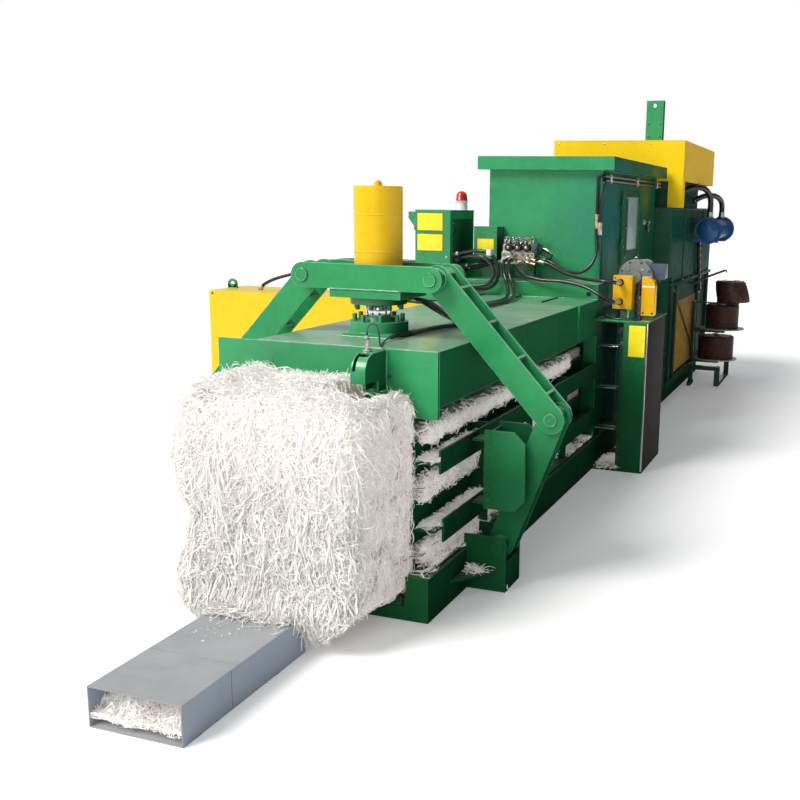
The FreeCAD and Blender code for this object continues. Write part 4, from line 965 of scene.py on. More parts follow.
def paper_chute():
    n = 1500
    y = -2.035 + 0.42 * rng.random(n) ** 1.4
    top = 0.030 + 0.085 * np.clip((y + 2.05) / 0.16, 0.25, 1.0)
    P = np.stack([-0.320 + 0.545 * rng.random(n), y, top * rng.uniform(0.35, 1.0, n)], 1)

    def fn(Q):
        h = 0.028 + 0.085 * np.clip((Q[:, 1] + 2.05) / 0.16, 0.25, 1.0) + 0.018 * np.sin(Q[:, 0] * 21 + 1) * np.sin(Q[:, 1] * 17)
        g = np.zeros_like(Q)
        g[:, 2] = 1
        return Q[:, 2] - h, g
    hd = heads(n, (0, 0, 0), 1.0)
    hd[:, 2] *= 0.2
    shreds("chute_paper", "frame", paper_low, fn, P, norm(hd), 6, 0.09, 0.0062, (-0.004, 0.030), wander=0.40, grav=0.0, tip=0.03, tipfrac=0.3, arch=0.018, limit=((-0.326, -2.046, 0.008), (0.232, -1.5, 0.205)))
    # darker blocks under the chute strips: painted shade between them
    F = Piece("chute_fill", "frame", [paper_core_painted_shade])
    for i in range(7):
        F.box((-0.322, -1.96 + 0.15 * i, 0.007), (0.228, -1.82 + 0.15 * i, 0.075 + 0.02 * (i % 2)), 0, 0.012)
    F.done()


def tie_wires():
    """Thin dark red tie wires that show here and there along the bale's right side."""
    W = Piece("tie_wires", "frame", [wire_red])
    for z, y0, y1 in ((0.858, -0.36, 0.10), (0.430, -0.42, 0.12), (0.412, -0.20, 0.62)):
        pts = []
        for k in range(22):
            t = k / 21
            y = y0 + (y1 - y0) * t
            P = np.array([[0.66, y, z + 0.012 * math.sin(9 * t + z * 9) - 0.02 * t]])
            for _ in range(3):
                d, g = bale(P) if y < -0.05 else (P[:, 0] - 0.640, np.array([[1.0, 0, 0]]))
                P = P - (d - 0.010 - 0.005 * math.sin(k * 1.7))[:, None] * g
            pts.append(tuple(P[0]))
        W.tube(pts, 0.0024, 6)
    W.done()


paper_front()
paper_sides()
paper_slots()
paper_chute()
tie_wires()


# ---------------------------------------------------------------- press plate, yoke and squeeze linkage
def press_parts():
    W = Piece("press_plate_welds", "press_plate", [green_plate, green])
    W.weld((-0.612, 0.021, 1.7505), (0.733, 0.021, 1.7505), 0.0035, 0)
    W.weld((0.376, -0.003, 1.315), (0.376, -0.003, 1.747), 0.010, 1, 0.020)
    W.weld((0.7355, 0.03, 1.3885), (0.7355, 3.39, 1.3885), 0.005, 1, 0.02)
    W.weld((0.7355, 0.022, 1.315), (0.7355, 0.022, 1.745), 0.004, 1, 0.02)
    c = [(-0.186, 0.436), (0.186, 0.436), (0.186, 0.864), (-0.186, 0.864)]
    for i in range(4):
        a, b = c[i], c[(i + 1) % 4]
        W.weld((a[0], a[1], 1.753), (b[0], b[1], 1.753), 0.006, 0, 0.013)
    W.torus((0, 0.65, 1.778), (0, 0, 1), 0.213, 0.005, 64, 6, 1)
    for y in (0.9, 1.8, 2.7):
        W.box((0.7352, y, 1.395), (0.7368, y + 0.006, 1.742), 1, 0)
    W.done()
    W = Piece("press_rod_sleeve", "press_plate", [chrome])
    W.lathe((0, 0.65, 1.8850), (0, 0, 1), [(0, 0.0900), (0, 0.0912), (0.002, 0.0920), (0.085, 0.0920), (0.087, 0.0905)], 64, 0)
    W.done()

    S = Piece("flange_screws_lower_caps", "press_plate", [green])
    for i in range(8):
        a = math.radians(45 * i + 30.5)
        p = (0.170 * math.cos(a), 0.65 + 0.170 * math.sin(a), 1.852)
        S.lathe(p, (0, 0, 1), [(0, 0.021), (0.003, 0.021), (0.003, 0.0168), (0.047, 0.0168), (0.050, 0.0150), (0.050, 0.0085), (0.036, 0.0085)], 24)
    S.done(32, ("flange_screws_lower",))
    S = Piece("flange_screws_upper_caps", "yoke", [green_low])
    for i in range(8):
        a = math.radians(45 * i + 8)
        p = (0.167 * math.cos(a), 0.65 + 0.167 * math.sin(a), 1.975)
        S.lathe(p, (0, 0, -1), [(0, 0.0168), (0.035, 0.0168), (0.038, 0.0150), (0.038, 0.0085), (0.026, 0.0085)], 24)
    S.done(32, ("flange_screws_upper",))

    Y = Piece("yoke_trim", "yoke", [green_bright, green_low, yellow, zinc, black_plastic])
    for s in (1, -1):
        # the darker ring round each pin head is a painted shadow ring
        Y.torus((s * 0.490, 0.4262, 2.171), (0, 1, 0), 0.0468, 0.0028, 48, 8, 1)
        Y.torus((s * 0.490, 0.4165, 2.171), (0, 1, 0), 0.0425, 0.0026, 48, 8, 0)
        Y.box((s * 0.490 - 0.055, 0.884, 2.150), (s * 0.490 + 0.055, 0.892, 2.192), 1, 0.002)
        for q in (-0.032, 0.032):
            Y.hexa((s * 0.490 + q, 0.892, 2.171), (0, 1, 0), 0.010, 0.009, 3)
    Y.weld((-0.268, 0.424, 2.084), (0.268, 0.424, 2.084), 0.006, 0, 0.013)
    Y.weld((-0.268, 0.459, 2.0845), (0.268, 0.459, 2.0845), 0.006, 0, 0.013)
    Y.weld((-0.268, 0.841, 2.0845), (0.268, 0.841, 2.0845), 0.006, 0, 0.013)
    # cover rings, cap seam and small bleed screw on the press cylinder
    Y.lathe((0, 0.65, 1.9742), (0, 0, 1), [(0, 0.098), (0, 0.1995), (0.0015, 0.2010), (0.0500, 0.2010), (0.0516, 0.1995), (0.0516, 0.131)], 72, 1)
    Y.hexa((0.0, 0.65, 2.8185), (0, 0, 1), 0.015, 0.011, 2, False)
    Y.tube(spline([(0.014, 0.632, 2.796), (0.05, 0.61, 2.800), (0.10, 0.60, 2.795), (0.150, 0.60, 2.793)]), 0.004, 6, 3)
    Y.done()

    H = Piece("press_hoses_smooth", "frame", [rubber])
    a = [(168, 776, 2000), (280, 860, 1980), (335, 1010, 1905), (290, 1250, 1835), (210, 1600, 1786), (110, 2050, 1774), (30, 2520, 1774), (40, 3000, 1774), (40, 3420, 1774),
         (-40, 3790, 1795), (-140, 4040, 1870), (-215, 4140, 1990), (-262, 4270, 2090), (-262, 4430, 2120)]
    b = [(106, 829, 2000), (190, 950, 1978), (250, 1120, 1895), (225, 1400, 1818), (150, 1720, 1784), (60, 2120, 1774), (-30, 2560, 1774), (-22, 3010, 1774), (-15, 3400, 1774),
         (-95, 3760, 1795), (-195, 4030, 1870), (-268, 4130, 1990), (-318, 4265, 2090), (-318, 4430, 2120)]
    for k in (a, b):
        H.tube(spline([(x / 1000, y / 1000, z / 1000) for x, y, z in k], 12), 0.019, 14)
    me = bpy.data.meshes.new("press_hoses_smooth")
    me.from_pydata([tuple(p) for p in H.v], [], H.f)
    me.materials.append(rubber)
    me.polygons.foreach_set("use_smooth", [True] * len(H.f))
    ob = bpy.data.objects.new("press_hoses_smooth", me)
    bpy.context.scene.collection.objects.link(ob)
    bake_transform(ob)
    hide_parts("press_hoses")

    F = Piece("press_hose_ends", "yoke", [zinc, brass])
    for p, q in (((0.168, 0.776, 2.0), (0.245, 0.834, 1.986)), ((0.106, 0.829, 2.0), (0.158, 0.904, 1.986))):
        d = (Vector(q) - Vector(p))
        F.hexa(Vector(p) - d * 0.05, d, 0.026, 0.026, 1, False)
        F.cyl(Vector(p) + d * 0.2, q, 0.0225, mat=0, c=0.002)
    F.done()

    for s, n in ((1, "right"), (-1, "left")):
        A = Piece("arm_trim_" + n, "arm_" + n, [green_bright, green_low])
        A.torus((s * 0.490, 0.539, 2.171), (0, 1, 0), 0.0715, 0.005, 40, 6, 0)
        A.torus((s * 0.490, 0.761, 2.171), (0, 1, 0), 0.0715, 0.005, 40, 6, 0)
        A.torus((s * 1.332, 0.5388, 1.257), (0, 1, 0), 0.0465, 0.0035, 40, 6, 1)
        A.torus((s * 1.332, 0.5295, 1.257), (0, 1, 0), 0.0420, 0.0030, 40, 6, 0)
        A.hexa((s * 1.332, 0.5300, 1.257), (0, -1, 0), 0.010, 0.004, 0, False)
        A.hexa((s * 1.300, 0.7715, 1.257), (0, 1, 0), 0.012, 0.010, 1)
        A.done()
        L = Piece("lever_trim_" + n, "lever_" + n, [green, green_low])
        for y in (0.5685, 0.7315):
            L.torus((s * 0.982, y, 0.326), (0, 1, 0), 0.0715, 0.005, 40, 6, 0)
        L.hexa((s * 1.16, 0.5695, 0.79), (0, -1, 0), 0.009, 0.006, 0, False)
        L.done()


def sensor():
    B = Piece("sensor_assembly", "press_plate", [green, zinc, blue_plastic, black_plastic, steel, slate])
    cheek = [(0, 1.745), (-0.19, 1.745), (-0.24, 1.728), (-0.262, 1.711), (-0.278, 1.69), (-0.290, 1.665), (-0.297, 1.64), (-0.297, 1.562), (-0.112, 1.562), (-0.112, 1.49), (0, 1.49)]
    B.prism("YZ", cheek, 0.358, 0.370, 0)
    B.prism("YZ", cheek, 0.268, 0.278, 0)
    B.box((0.278, -0.297, 1.562), (0.358, -0.287, 1.640), 0, 0.002)
    B.box((0.278, -0.010, 1.490), (0.358, 0.000, 1.745), 0, 0.002)
    arc = [(-0.297, 1.64), (-0.290, 1.665), (-0.278, 1.69), (-0.262, 1.711), (-0.240, 1.728), (-0.234, 1.720), (-0.254, 1.705), (-0.269, 1.686), (-0.281, 1.663), (-0.287, 1.64)]
    B.prism("YZ", arc, 0.300, 0.358, 0)
    B.box((0.278, -0.190, 1.735), (0.358, 0.0, 1.745), 0, 0.002)
    # sensor stem with two lock nuts, a blue ring and a cap
    c = (0.300, -0.130)
    B.lathe((c[0], c[1], 1.700), (0, 0, 1), [(0, 0.012), (0.06, 0.012), (0.06, 0.0145), (0.120, 0.0145), (0.122, 0.0155), (0.136, 0.0155), (0.138, 0.0125), (0.150, 0.0115)], 28, 1)
    B.hexa((c[0], c[1], 1.745), (0, 0, 1), 0.027, 0.014, 4)
    B.hexa((c[0], c[1], 1.735), (0, 0, -1), 0.027, 0.014, 4)
    B.cyl((c[0], c[1], 1.823), (c[0], c[1], 1.831), 0.0162, mat=2)
    B.cyl((c[0], c[1], 1.850), (c[0], c[1], 1.866), 0.0085, mat=3, c=0.002)
    cab = [(300, -130, 1858), (300, -130, 1888), (313, -120, 1915), (336, -102, 1922), (352, -80, 1893), (350, -56, 1840), (338, -25, 1790), (318, 30, 1763), (285, 105, 1758.5),
           (252, 190, 1758.5), (232, 270, 1762), (223, 350, 1774), (222, 430, 1784)]
    B.tube(spline([(x / 1000, y / 1000, z / 1000) for x, y, z in cab], 6), 0.0058, 8, 5)
    con = spline([(x / 1000, y / 1000, z / 1000) for x, y, z in [(222, 424, 1784), (225, 540, 1772), (230, 680, 1768), (236, 840, 1768), (250, 1010, 1768), (295, 1190, 1768), (370, 1400, 1768), (400, 1640, 1768), (390, 1900, 1768)]], 22)
    B.tube(con, 0.0165, 12, 3, [0.0150 + 0.0022 * (i % 2) for i in range(len(con))])
    for y, z in ((-0.060, 1.535), (-0.055, 1.615), (-0.22, 1.60)):
        B.hexa((0.268, y, z), (-1, 0, 0), 0.011, 0.010, 0)
    B.hexa((0.395, -0.0005, 1.575), (0, -1, 0), 0.013, 0.011, 5)
    B.weld((0.279, -0.003, 1.748), (0.357, -0.003, 1.748), 0.004, 0, 0.009)
    B.done(34, ("sensor_bracket",))


# ---------------------------------------------------------------- rails, brackets, portal
def frame_parts():
    R = Piece("rail_weld_beads", "frame", [green_low, green])
    for s in (1, -1):
        for y in (1.0, 2.08, 3.16):
            for z0, z1 in ((0.317, 0.543), (0.562, 1.003), (1.022, 1.098)):
                R.weld((s * 0.721, y - 0.002, z0), (s * 0.721, y - 0.002, z1), 0.004, 0, 0.016)
        for z in (1.004, 1.021, 0.544, 0.561):
            R.weld((s * 0.592, 0.01, z), (s * 0.592, 3.1, z), 0.004, 0, 0.02)
        R.weld((s * 0.764, 0.489, 0.025), (s * 0.764, 0.489, 0.315), 0.005, 0, 0.013)
        R.weld((s * 0.764, 0.488, 0.160), (s * 0.985, 0.488, 0.160), 0.005, 0, 0.013)
        R.torus((s * 0.982, 0.4895, 0.326), (0, 1, 0), 0.0455, 0.0025, 40, 6, 0)
        for k in range(11):
            R.cyl((s * 0.9195, 0.4775, 0.63 + 0.052 * k), (s * 0.9195, 0.4745, 0.63 + 0.052 * k), 0.0055, 0.003, 8, 1)
        R.weld((s * 0.8835, 0.4845, 0.603), (s * 0.8835, 0.4845, 1.157), 0.0045, 1, 0.013)
        R.weld((s * 0.764, 0.02, 0.301), (s * 0.764, 3.9, 0.301), 0.004, 0, 0.02)
    R.done()

    T = Piece("portal_trim", "frame", [green, painted_gap_shade, green_low, zinc, white_plastic])
    # near-black disc inside the ring: painted shade of an opening
    T.cyl((0.638, 4.1738, 1.800), (0.638, 4.1728, 1.800), 0.027, mat=1, seg=32)
    T.torus((0.638, 4.1735, 1.800), (0, 1, 0), 0.028, 0.0022, 32, 6, 0)
    T.weld((-0.73, 4.172, 1.748), (0.73, 4.172, 1.748), 0.005, 0, 0.02)
    T.weld((-0.735, 4.173, 1.898), (0.735, 4.173, 1.898), 0.003, 0, 0.03)
    for x in (-0.5, -0.1, 0.3):
        T.box((x, 3.62, 1.745), (x + 0.012, 4.17, 1.757), 2, 0.002)
    for i in range(6):
        T.hexa((0.745, 4.20 + 0.07 * i, 1.559), (0, 0, 1), 0.010, 0.009, 3)
    T.box((-0.440, 4.040, 2.158), (-0.385, 4.132, 2.226), 4, 0.012)
    T.done()

    C = Piece("hopper_trim", "frame", [green_hopper, green, zinc, painted_gap_shade, brass, black_steel])
    for x in (-0.617, 0.627):
        C.weld((x, 4.6215, 1.57), (x, 4.6215, 3.045), 0.0035, 0, 0.02)
    C.weld((-0.60, 4.619, 1.903), (0.61, 4.619, 1.903), 0.005, 1, 0.018)
    C.weld((0.6285, 4.63, 3.046), (0.6285, 7.49, 3.046), 0.004, 0, 0.02)
    C.box((-0.732, 4.5362, 3.1785), (0.766, 4.5370, 3.1850), 1, 0)
    # two near-black strips down the hopper side: painted shade in the gaps
    C.box((0.6272, 5.500, 1.70), (0.6300, 5.522, 2.86), 3, 0)
    C.box((0.6272, 5.563, 1.70), (0.6290, 5.572, 2.86), 3, 0)
    for y in (4.70, 7.42):
        C.box((0.6270, y, 1.60), (0.6330, y + 0.05, 3.04), 0, 0.001)
    for z in (2.230, 2.670):
        for y in (5.532, 5.552):
            C.hexa((0.668, y, z), (1, 0, 0), 0.007, 0.006, 2, False)
    for y in (4.85, 6.20, 7.43):
        C.box((0.6268, y - 0.002, 2.919), (0.6745, y + 0.042, 3.016), 2, 0.003)
        for z in (2.9275, 2.9675, 3.0080):
            C.hexa((0.6745, y + 0.02, z), (1, 0, 0), 0.008, 0.007, 5)
    for z in (2.945, 2.990):
        C.lathe((0.652, 7.53, z), (0, 1, 0), [(0, 0.018), (0.004, 0.0215), (0.05, 0.0215), (0.052, 0.019), (0.09, 0.019), (0.092, 0.0215), (0.13, 0.0215), (0.134, 0.018)], 18, 2)
    # crimped couplings where the hoses meet the steel pipes
    for x, y, z0, z1 in ((0.585, 4.596, 2.452, 2.600), (0.622, 4.596, 2.386, 2.515)):
        C.lathe((x, y, z0), (0, 0, 1), [(0, 0.0215), (0.004, 0.0235), ((z1 - z0) * 0.52, 0.0235), ((z1 - z0) * 0.54, 0.0205), ((z1 - z0) * 0.60, 0.0205), ((z1 - z0) * 0.62, 0.0260), (z1 - z0 - 0.003, 0.0260), (z1 - z0, 0.0225)], 20, 4 if x < 0.6 else 2)
    C.done()

    D = Piece("access_door_trim", "access_door", [window, green_hopper, painted_gap_shade, zinc, lens, green])
    D.box((0.6305, 5.812, 2.176), (0.6345, 6.404, 2.794), 0, 0.001)
    for lo, hi in (((0.641, 5.770, 2.790), (0.649, 6.440, 2.822)), ((0.641, 5.770, 2.148), (0.649, 6.440, 2.180)), ((0.641, 5.776, 2.180), (0.649, 5.816, 2.790)), ((0.641, 6.400, 2.180), (0.649, 6.440, 2.790))):
        D.box(lo, hi, 1, 0.002)
    # near-black strip beside the door: painted shade in the gap
    D.box((0.6408, 5.655, 2.06), (0.6425, 5.735, 2.83), 2, 0)
    for z in (2.10, 2.44, 2.78):
        D.hexa((0.641, 5.755, z), (1, 0, 0), 0.009, 0.007, 3)
        D.hexa((0.641, 6.500, z), (1, 0, 0), 0.009, 0.007, 3)
    D.box((0.641, 6.730, 2.470), (0.659, 6.790, 2.530), 3, 0.004)
    D.cyl((0.659, 6.760, 2.500), (0.672, 6.760, 2.500), 0.014, mat=3, c=0.002)
    D.box((0.655, 6.775, 2.498), (0.668, 6.835, 2.516), 4, 0.003)
    D.done()

    K = Piece("door_handle_trim", "door_handle", [zinc, black_plastic])
    K.lathe((0.681, 6.927, 2.499), (1, 0, 0), [(0, 0.016), (0.006, 0.016), (0.009, 0.012)], 20, 0)
    K.cyl((0.664, 6.927, 2.375), (0.664, 6.927, 2.455), 0.0145, mat=1, c=0.003)
    K.done()


# ---------------------------------------------------------------- valves, fittings, cabinet
def manifold():
    M = Piece("valve_manifold_detail", "frame", [zinc, black_steel, brass, slate, steel, green_deep, black_plastic, rubber])
    M.box((-0.405, 4.430, 2.060), (-0.040, 4.590, 2.190), 0, 0.004)
    for x in (-0.390, -0.090):
        M.box((x, 4.480, 1.900), (x + 0.040, 4.540, 2.060), 5, 0.002)
    for x, z, r in ((-0.375, 2.158, 0.012), (-0.330, 2.084, 0.014), (-0.285, 2.165, 0.010), (-0.235, 2.150, 0.013), (-0.165, 2.160, 0.012), (-0.150, 2.092, 0.013), (-0.105, 2.158, 0.011), (-0.075, 2.090, 0.014), (-0.062, 2.165, 0.009)):
        M.cyl((x, 4.431, z), (x, 4.422, z), r, mat=1, seg=18, c=0.001)
        M.cyl((x, 4.4225, z), (x, 4.4200, z), r * 0.5, mat=0, seg=6)
    for x in (-0.353, -0.262, -0.170, -0.085):
        M.box((x - 0.042, 4.440, 2.190), (x + 0.040, 4.590, 2.262), 0, 0.004)
        M.box((x - 0.036, 4.450, 2.262), (x + 0.034, 4.588, 2.318), 4, 0.008)
        for y in (4.465, 4.565):
            M.cyl((x - 0.02, y, 2.316), (x - 0.02, y, 2.328), 0.010, mat=0, seg=14, c=0.002)
            M.cyl((x + 0.018, y, 2.316), (x + 0.018, y, 2.326), 0.010, mat=2, seg=14, c=0.002)
    for x in (-0.305, -0.203, -0.105):
        M.lathe((x, 4.445, 2.236), (0, -1, 0), [(0, 0.030), (0.010, 0.030), (0.012, 0.040), (0.085, 0.040), (0.092, 0.036), (0.092, 0.024), (0.084, 0.024)], 30, 1)
        M.lathe((x, 4.365, 2.236), (0, -1, 0), [(0, 0.021), (0.012, 0.021), (0.016, 0.017), (0.024, 0.015), (0.027, 0.010)], 24, 2)
        M.torus((x, 4.358, 2.236), (0, 1, 0), 0.0365, 0.0022, 30, 6, 4)
    M.box((-0.060, 4.372, 2.192), (0.010, 4.505, 2.284), 3, 0.010)
    M.cyl((-0.025, 4.374, 2.238), (-0.025, 4.362, 2.238), 0.026, mat=3, c=0.004)
    M.box((0.012, 4.400, 2.205), (0.055, 4.470, 2.250), 6, 0.006)
    M.tube(spline([(0.052, 4.43, 2.235), (0.09, 4.42, 2.228), (0.13, 4.41, 2.205), (0.165, 4.42, 2.180)]), 0.009, 8, 0)
    M.tube(spline([(0.052, 4.45, 2.215), (0.10, 4.45, 2.190), (0.15, 4.46, 2.165), (0.11, 4.50, 2.12), (0.03, 4.52, 2.10)]), 0.010, 8, 6)
    g = np.random.default_rng(7)
    for i in range(9):
        x = -0.385 + 0.037 * i
        h = g.uniform(0.020, 0.034)
        M.tube(spline([(x, 4.452, 2.262), (x + g.uniform(-0.02, 0.02), 4.436, 2.285 + h * 0.4), (x + 0.03, 4.43, 2.312 + h), (x + 0.055, 4.445, 2.300 + h), (x + 0.062, 4.47, 2.318)], 6), 0.0052, 8, 4 if i % 2 else 0)
    for i in range(3):
        x = -0.33 + 0.11 * i
        M.torus((x, 4.434, 2.296), (0.25, -1, 0.35), 0.032, 0.0055, 26, 8, 4, 0.72, g.uniform(0, 1))
    for x in (-0.37, -0.30, -0.22, -0.14, -0.07):
        M.cyl((x, 4.52, 2.318), (x, 4.52, 2.345), 0.016, mat=0, seg=18, c=0.003)
    M.done(34, ("valve_manifold",))

    F = Piece("hose_fittings", "frame", [zinc, brass, steel, black_plastic])

    def ferrule(p, q, L=0.085, r=0.0245, mat=0):
        p, q = Vector(p) / 1000, Vector(q) / 1000
        d = (q - p).normalized()
        F.hexa(p - d * 0.004, d, r * 1.12, 0.024, 1, False)
        F.lathe(p + d * 0.020, d, [(0, r * 0.92), (0.004, r), (L * 0.45, r), (L * 0.47, r * 0.93), (L * 0.55, r * 0.93), (L * 0.57, r), (L - 0.004, r), (L, r * 0.90)], 22, mat)

    ferrule((-405, 4500, 2085), (-500, 4500, 2080), mat=2)
    ferrule((-405, 4560, 2085), (-500, 4560, 2070), mat=2)
    ferrule((-40, 4470, 2100), (120, 4440, 2080), 0.10, mat=2)
    ferrule((-40, 4540, 2140), (120, 4500, 2100), 0.10, mat=2)
    ferrule((-200, 4430, 2075), (-190, 4300, 2040), 0.06, mat=0)
    ferrule((-262, 4430, 2120), (-262, 4270, 2090), 0.07, mat=0)
    ferrule((-318, 4430, 2120), (-318, 4265, 2090), 0.07, mat=0)
    ferrule((960, 4140, 1935), (950, 4020, 1942), 0.10, mat=2)
    ferrule((960, 4140, 1740), (935, 4010, 1748), 0.10, mat=0)
    ferrule((-881, 4460, 2020), (-750, 4470, 2030), 0.06)
    ferrule((-881, 4545, 1990), (-750, 4550, 2000), 0.06)
    ferrule((-881, 4230, 2150), (-760, 4190, 2175), 0.06)
    ferrule((-881, 4290, 2090), (-770, 4200, 2120), 0.06)
    ferrule((-881, 4215, 1818), (-775, 4150, 1810), 0.06)
    ferrule((-881, 4250, 1865), (-775, 4135, 1855), 0.06)
    ferrule((-3420, 4450, 1641), (-3375, 4450, 1705), 0.04)
    ferrule((-1292, 4430, 2046), (-1441, 4440, 2046), 0.06)
    for y, z in ((8.750, 2.900), (9.900, 2.790)):
        F.hexa((0.760, y, z), (0.9, 0.27, 0.42), 0.054, 0.030, 0, False)
    for y in (9.110, 10.390):
        F.lathe((1.130, y, 2.548), (0, 0, 1), [(0, 0.054), (0.02, 0.054), (0.024, 0.045), (0.08, 0.045)], 24, 0)
    F.done()

    # two more valve bars lying right of the block, reaching the solenoids' level
    Q = Piece("manifold_bars", "frame", [brass, zinc])
    for z, y in ((2.122, 4.418), (2.078, 4.414)):
        Q.lathe((-0.135, y + 0.012, z + 0.010), (1, -0.10, -0.22), [(0, 0.012), (0.012, 0.0165), (0.060, 0.0165), (0.064, 0.014), (0.072, 0.014), (0.076, 0.018), (0.118, 0.018), (0.121, 0.013)], 18, 0)
    Q.done()


def cabinet():
    P = Piece("cabinet_door_trim", "cabinet_door", [plate_yellow, plate_rim, green, zinc, black_plastic])
    for x0, x1, z0, z1 in ((-1.270, -0.965, 2.390, 2.585), (-1.270, -0.965, 2.178, 2.366)):
        P.box((x0, 4.1488, z0), (x1, 4.1502, z1), 1, 0.0004)
        P.box((x0 + 0.008, 4.1480, z0 + 0.008), (x1 - 0.008, 4.1492, z1 - 0.008), 0, 0.0003)
    for z in (1.80, 2.12):
        P.lathe((-0.925, 4.150, z), (0, -1, 0), [(0, 0.015), (0.004, 0.015), (0.006, 0.010)], 20, 3)
        P.box((-0.929, 4.142, z - 0.008), (-0.921, 4.145, z + 0.008), 4, 0.001)
    P.box((-1.2875, 4.1492, 1.6605), (-1.2815, 4.1500, 2.5995), 2, 0)
    P.done()

    J = Piece("cabinet_trim", "frame", [green, painted_gap_shade, plate_yellow, plate_rim, black_plastic, green_low, zinc])
    J.box((-0.8825, 4.1500, 1.650), (-0.8805, 4.1600, 2.602), 5, 0.0003)
    J.box((-0.8806, 4.20, 1.78), (-0.8795, 4.80, 2.52), 5, 0.0004)
    for z in (1.82, 2.48):
        for y in (4.22, 4.78):
            J.hexa((-0.8796, y, z), (1, 0, 0), 0.007, 0.005, 6)
    J.box((-1.296, 4.160, 2.600), (-0.877, 4.838, 2.612), 0, 0.003)
    J.box((-0.4502, 4.404, 2.114), (-0.4470, 4.618, 2.440), 4, 0.001)
    J.box((-0.715, 4.396, 2.436), (-0.447, 4.620, 2.447), 0, 0.002)
    J.box((-0.8785, 4.600, 1.625), (-0.4475, 4.612, 2.112), 0, 0.002)
    J.box((-0.676, 4.3988, 2.171), (-0.479, 4.4002, 2.324), 3, 0.0004)
    J.box((-0.670, 4.3980, 2.177), (-0.485, 4.3992, 2.318), 2, 0.0003)
    for x in (-0.700, -0.462):
        for z in (2.125, 2.420):
            J.hexa((x, 4.400, z), (0, -1, 0), 0.006, 0.004, 6, False)
    for x in (-0.66, -0.58, -0.50):
        J.lathe((x, 4.50, 2.110), (0, 0, -1), [(0, 0.018), (0.012, 0.018), (0.014, 0.013), (0.030, 0.012)], 16, 4)
    J.done()

    B = Piece("warning_beacon_detail", "frame", [white_plastic, lens, black_plastic])
    B.lathe((-0.945, 4.620, 2.612), (0, 0, 1), [(0, 0.066), (0.004, 0.068), (0.012, 0.064), (0.084, 0.062), (0.090, 0.068), (0.098, 0.069), (0.100, 0.066)], 40, 0)
    dome = [(0, 0.064), (0.010, 0.0655)]
    for k in range(7):
        dome += [(0.012 + 0.007 * k, 0.0645 - 0.0007 * k), (0.0155 + 0.007 * k, 0.0628 - 0.0007 * k)]
    dome += [(0.064, 0.058), (0.078, 0.051), (0.090, 0.041), (0.099, 0.028), (0.104, 0.013), (0.1055, 0.003)]
    B.lathe((-0.945, 4.620, 2.712), (0, 0, 1), dome, 40, 1)
    B.box((-0.890, 4.608, 2.700), (-0.8775, 4.632, 2.709), 2, 0.002)
    B.done(34, ("warning_beacon",))


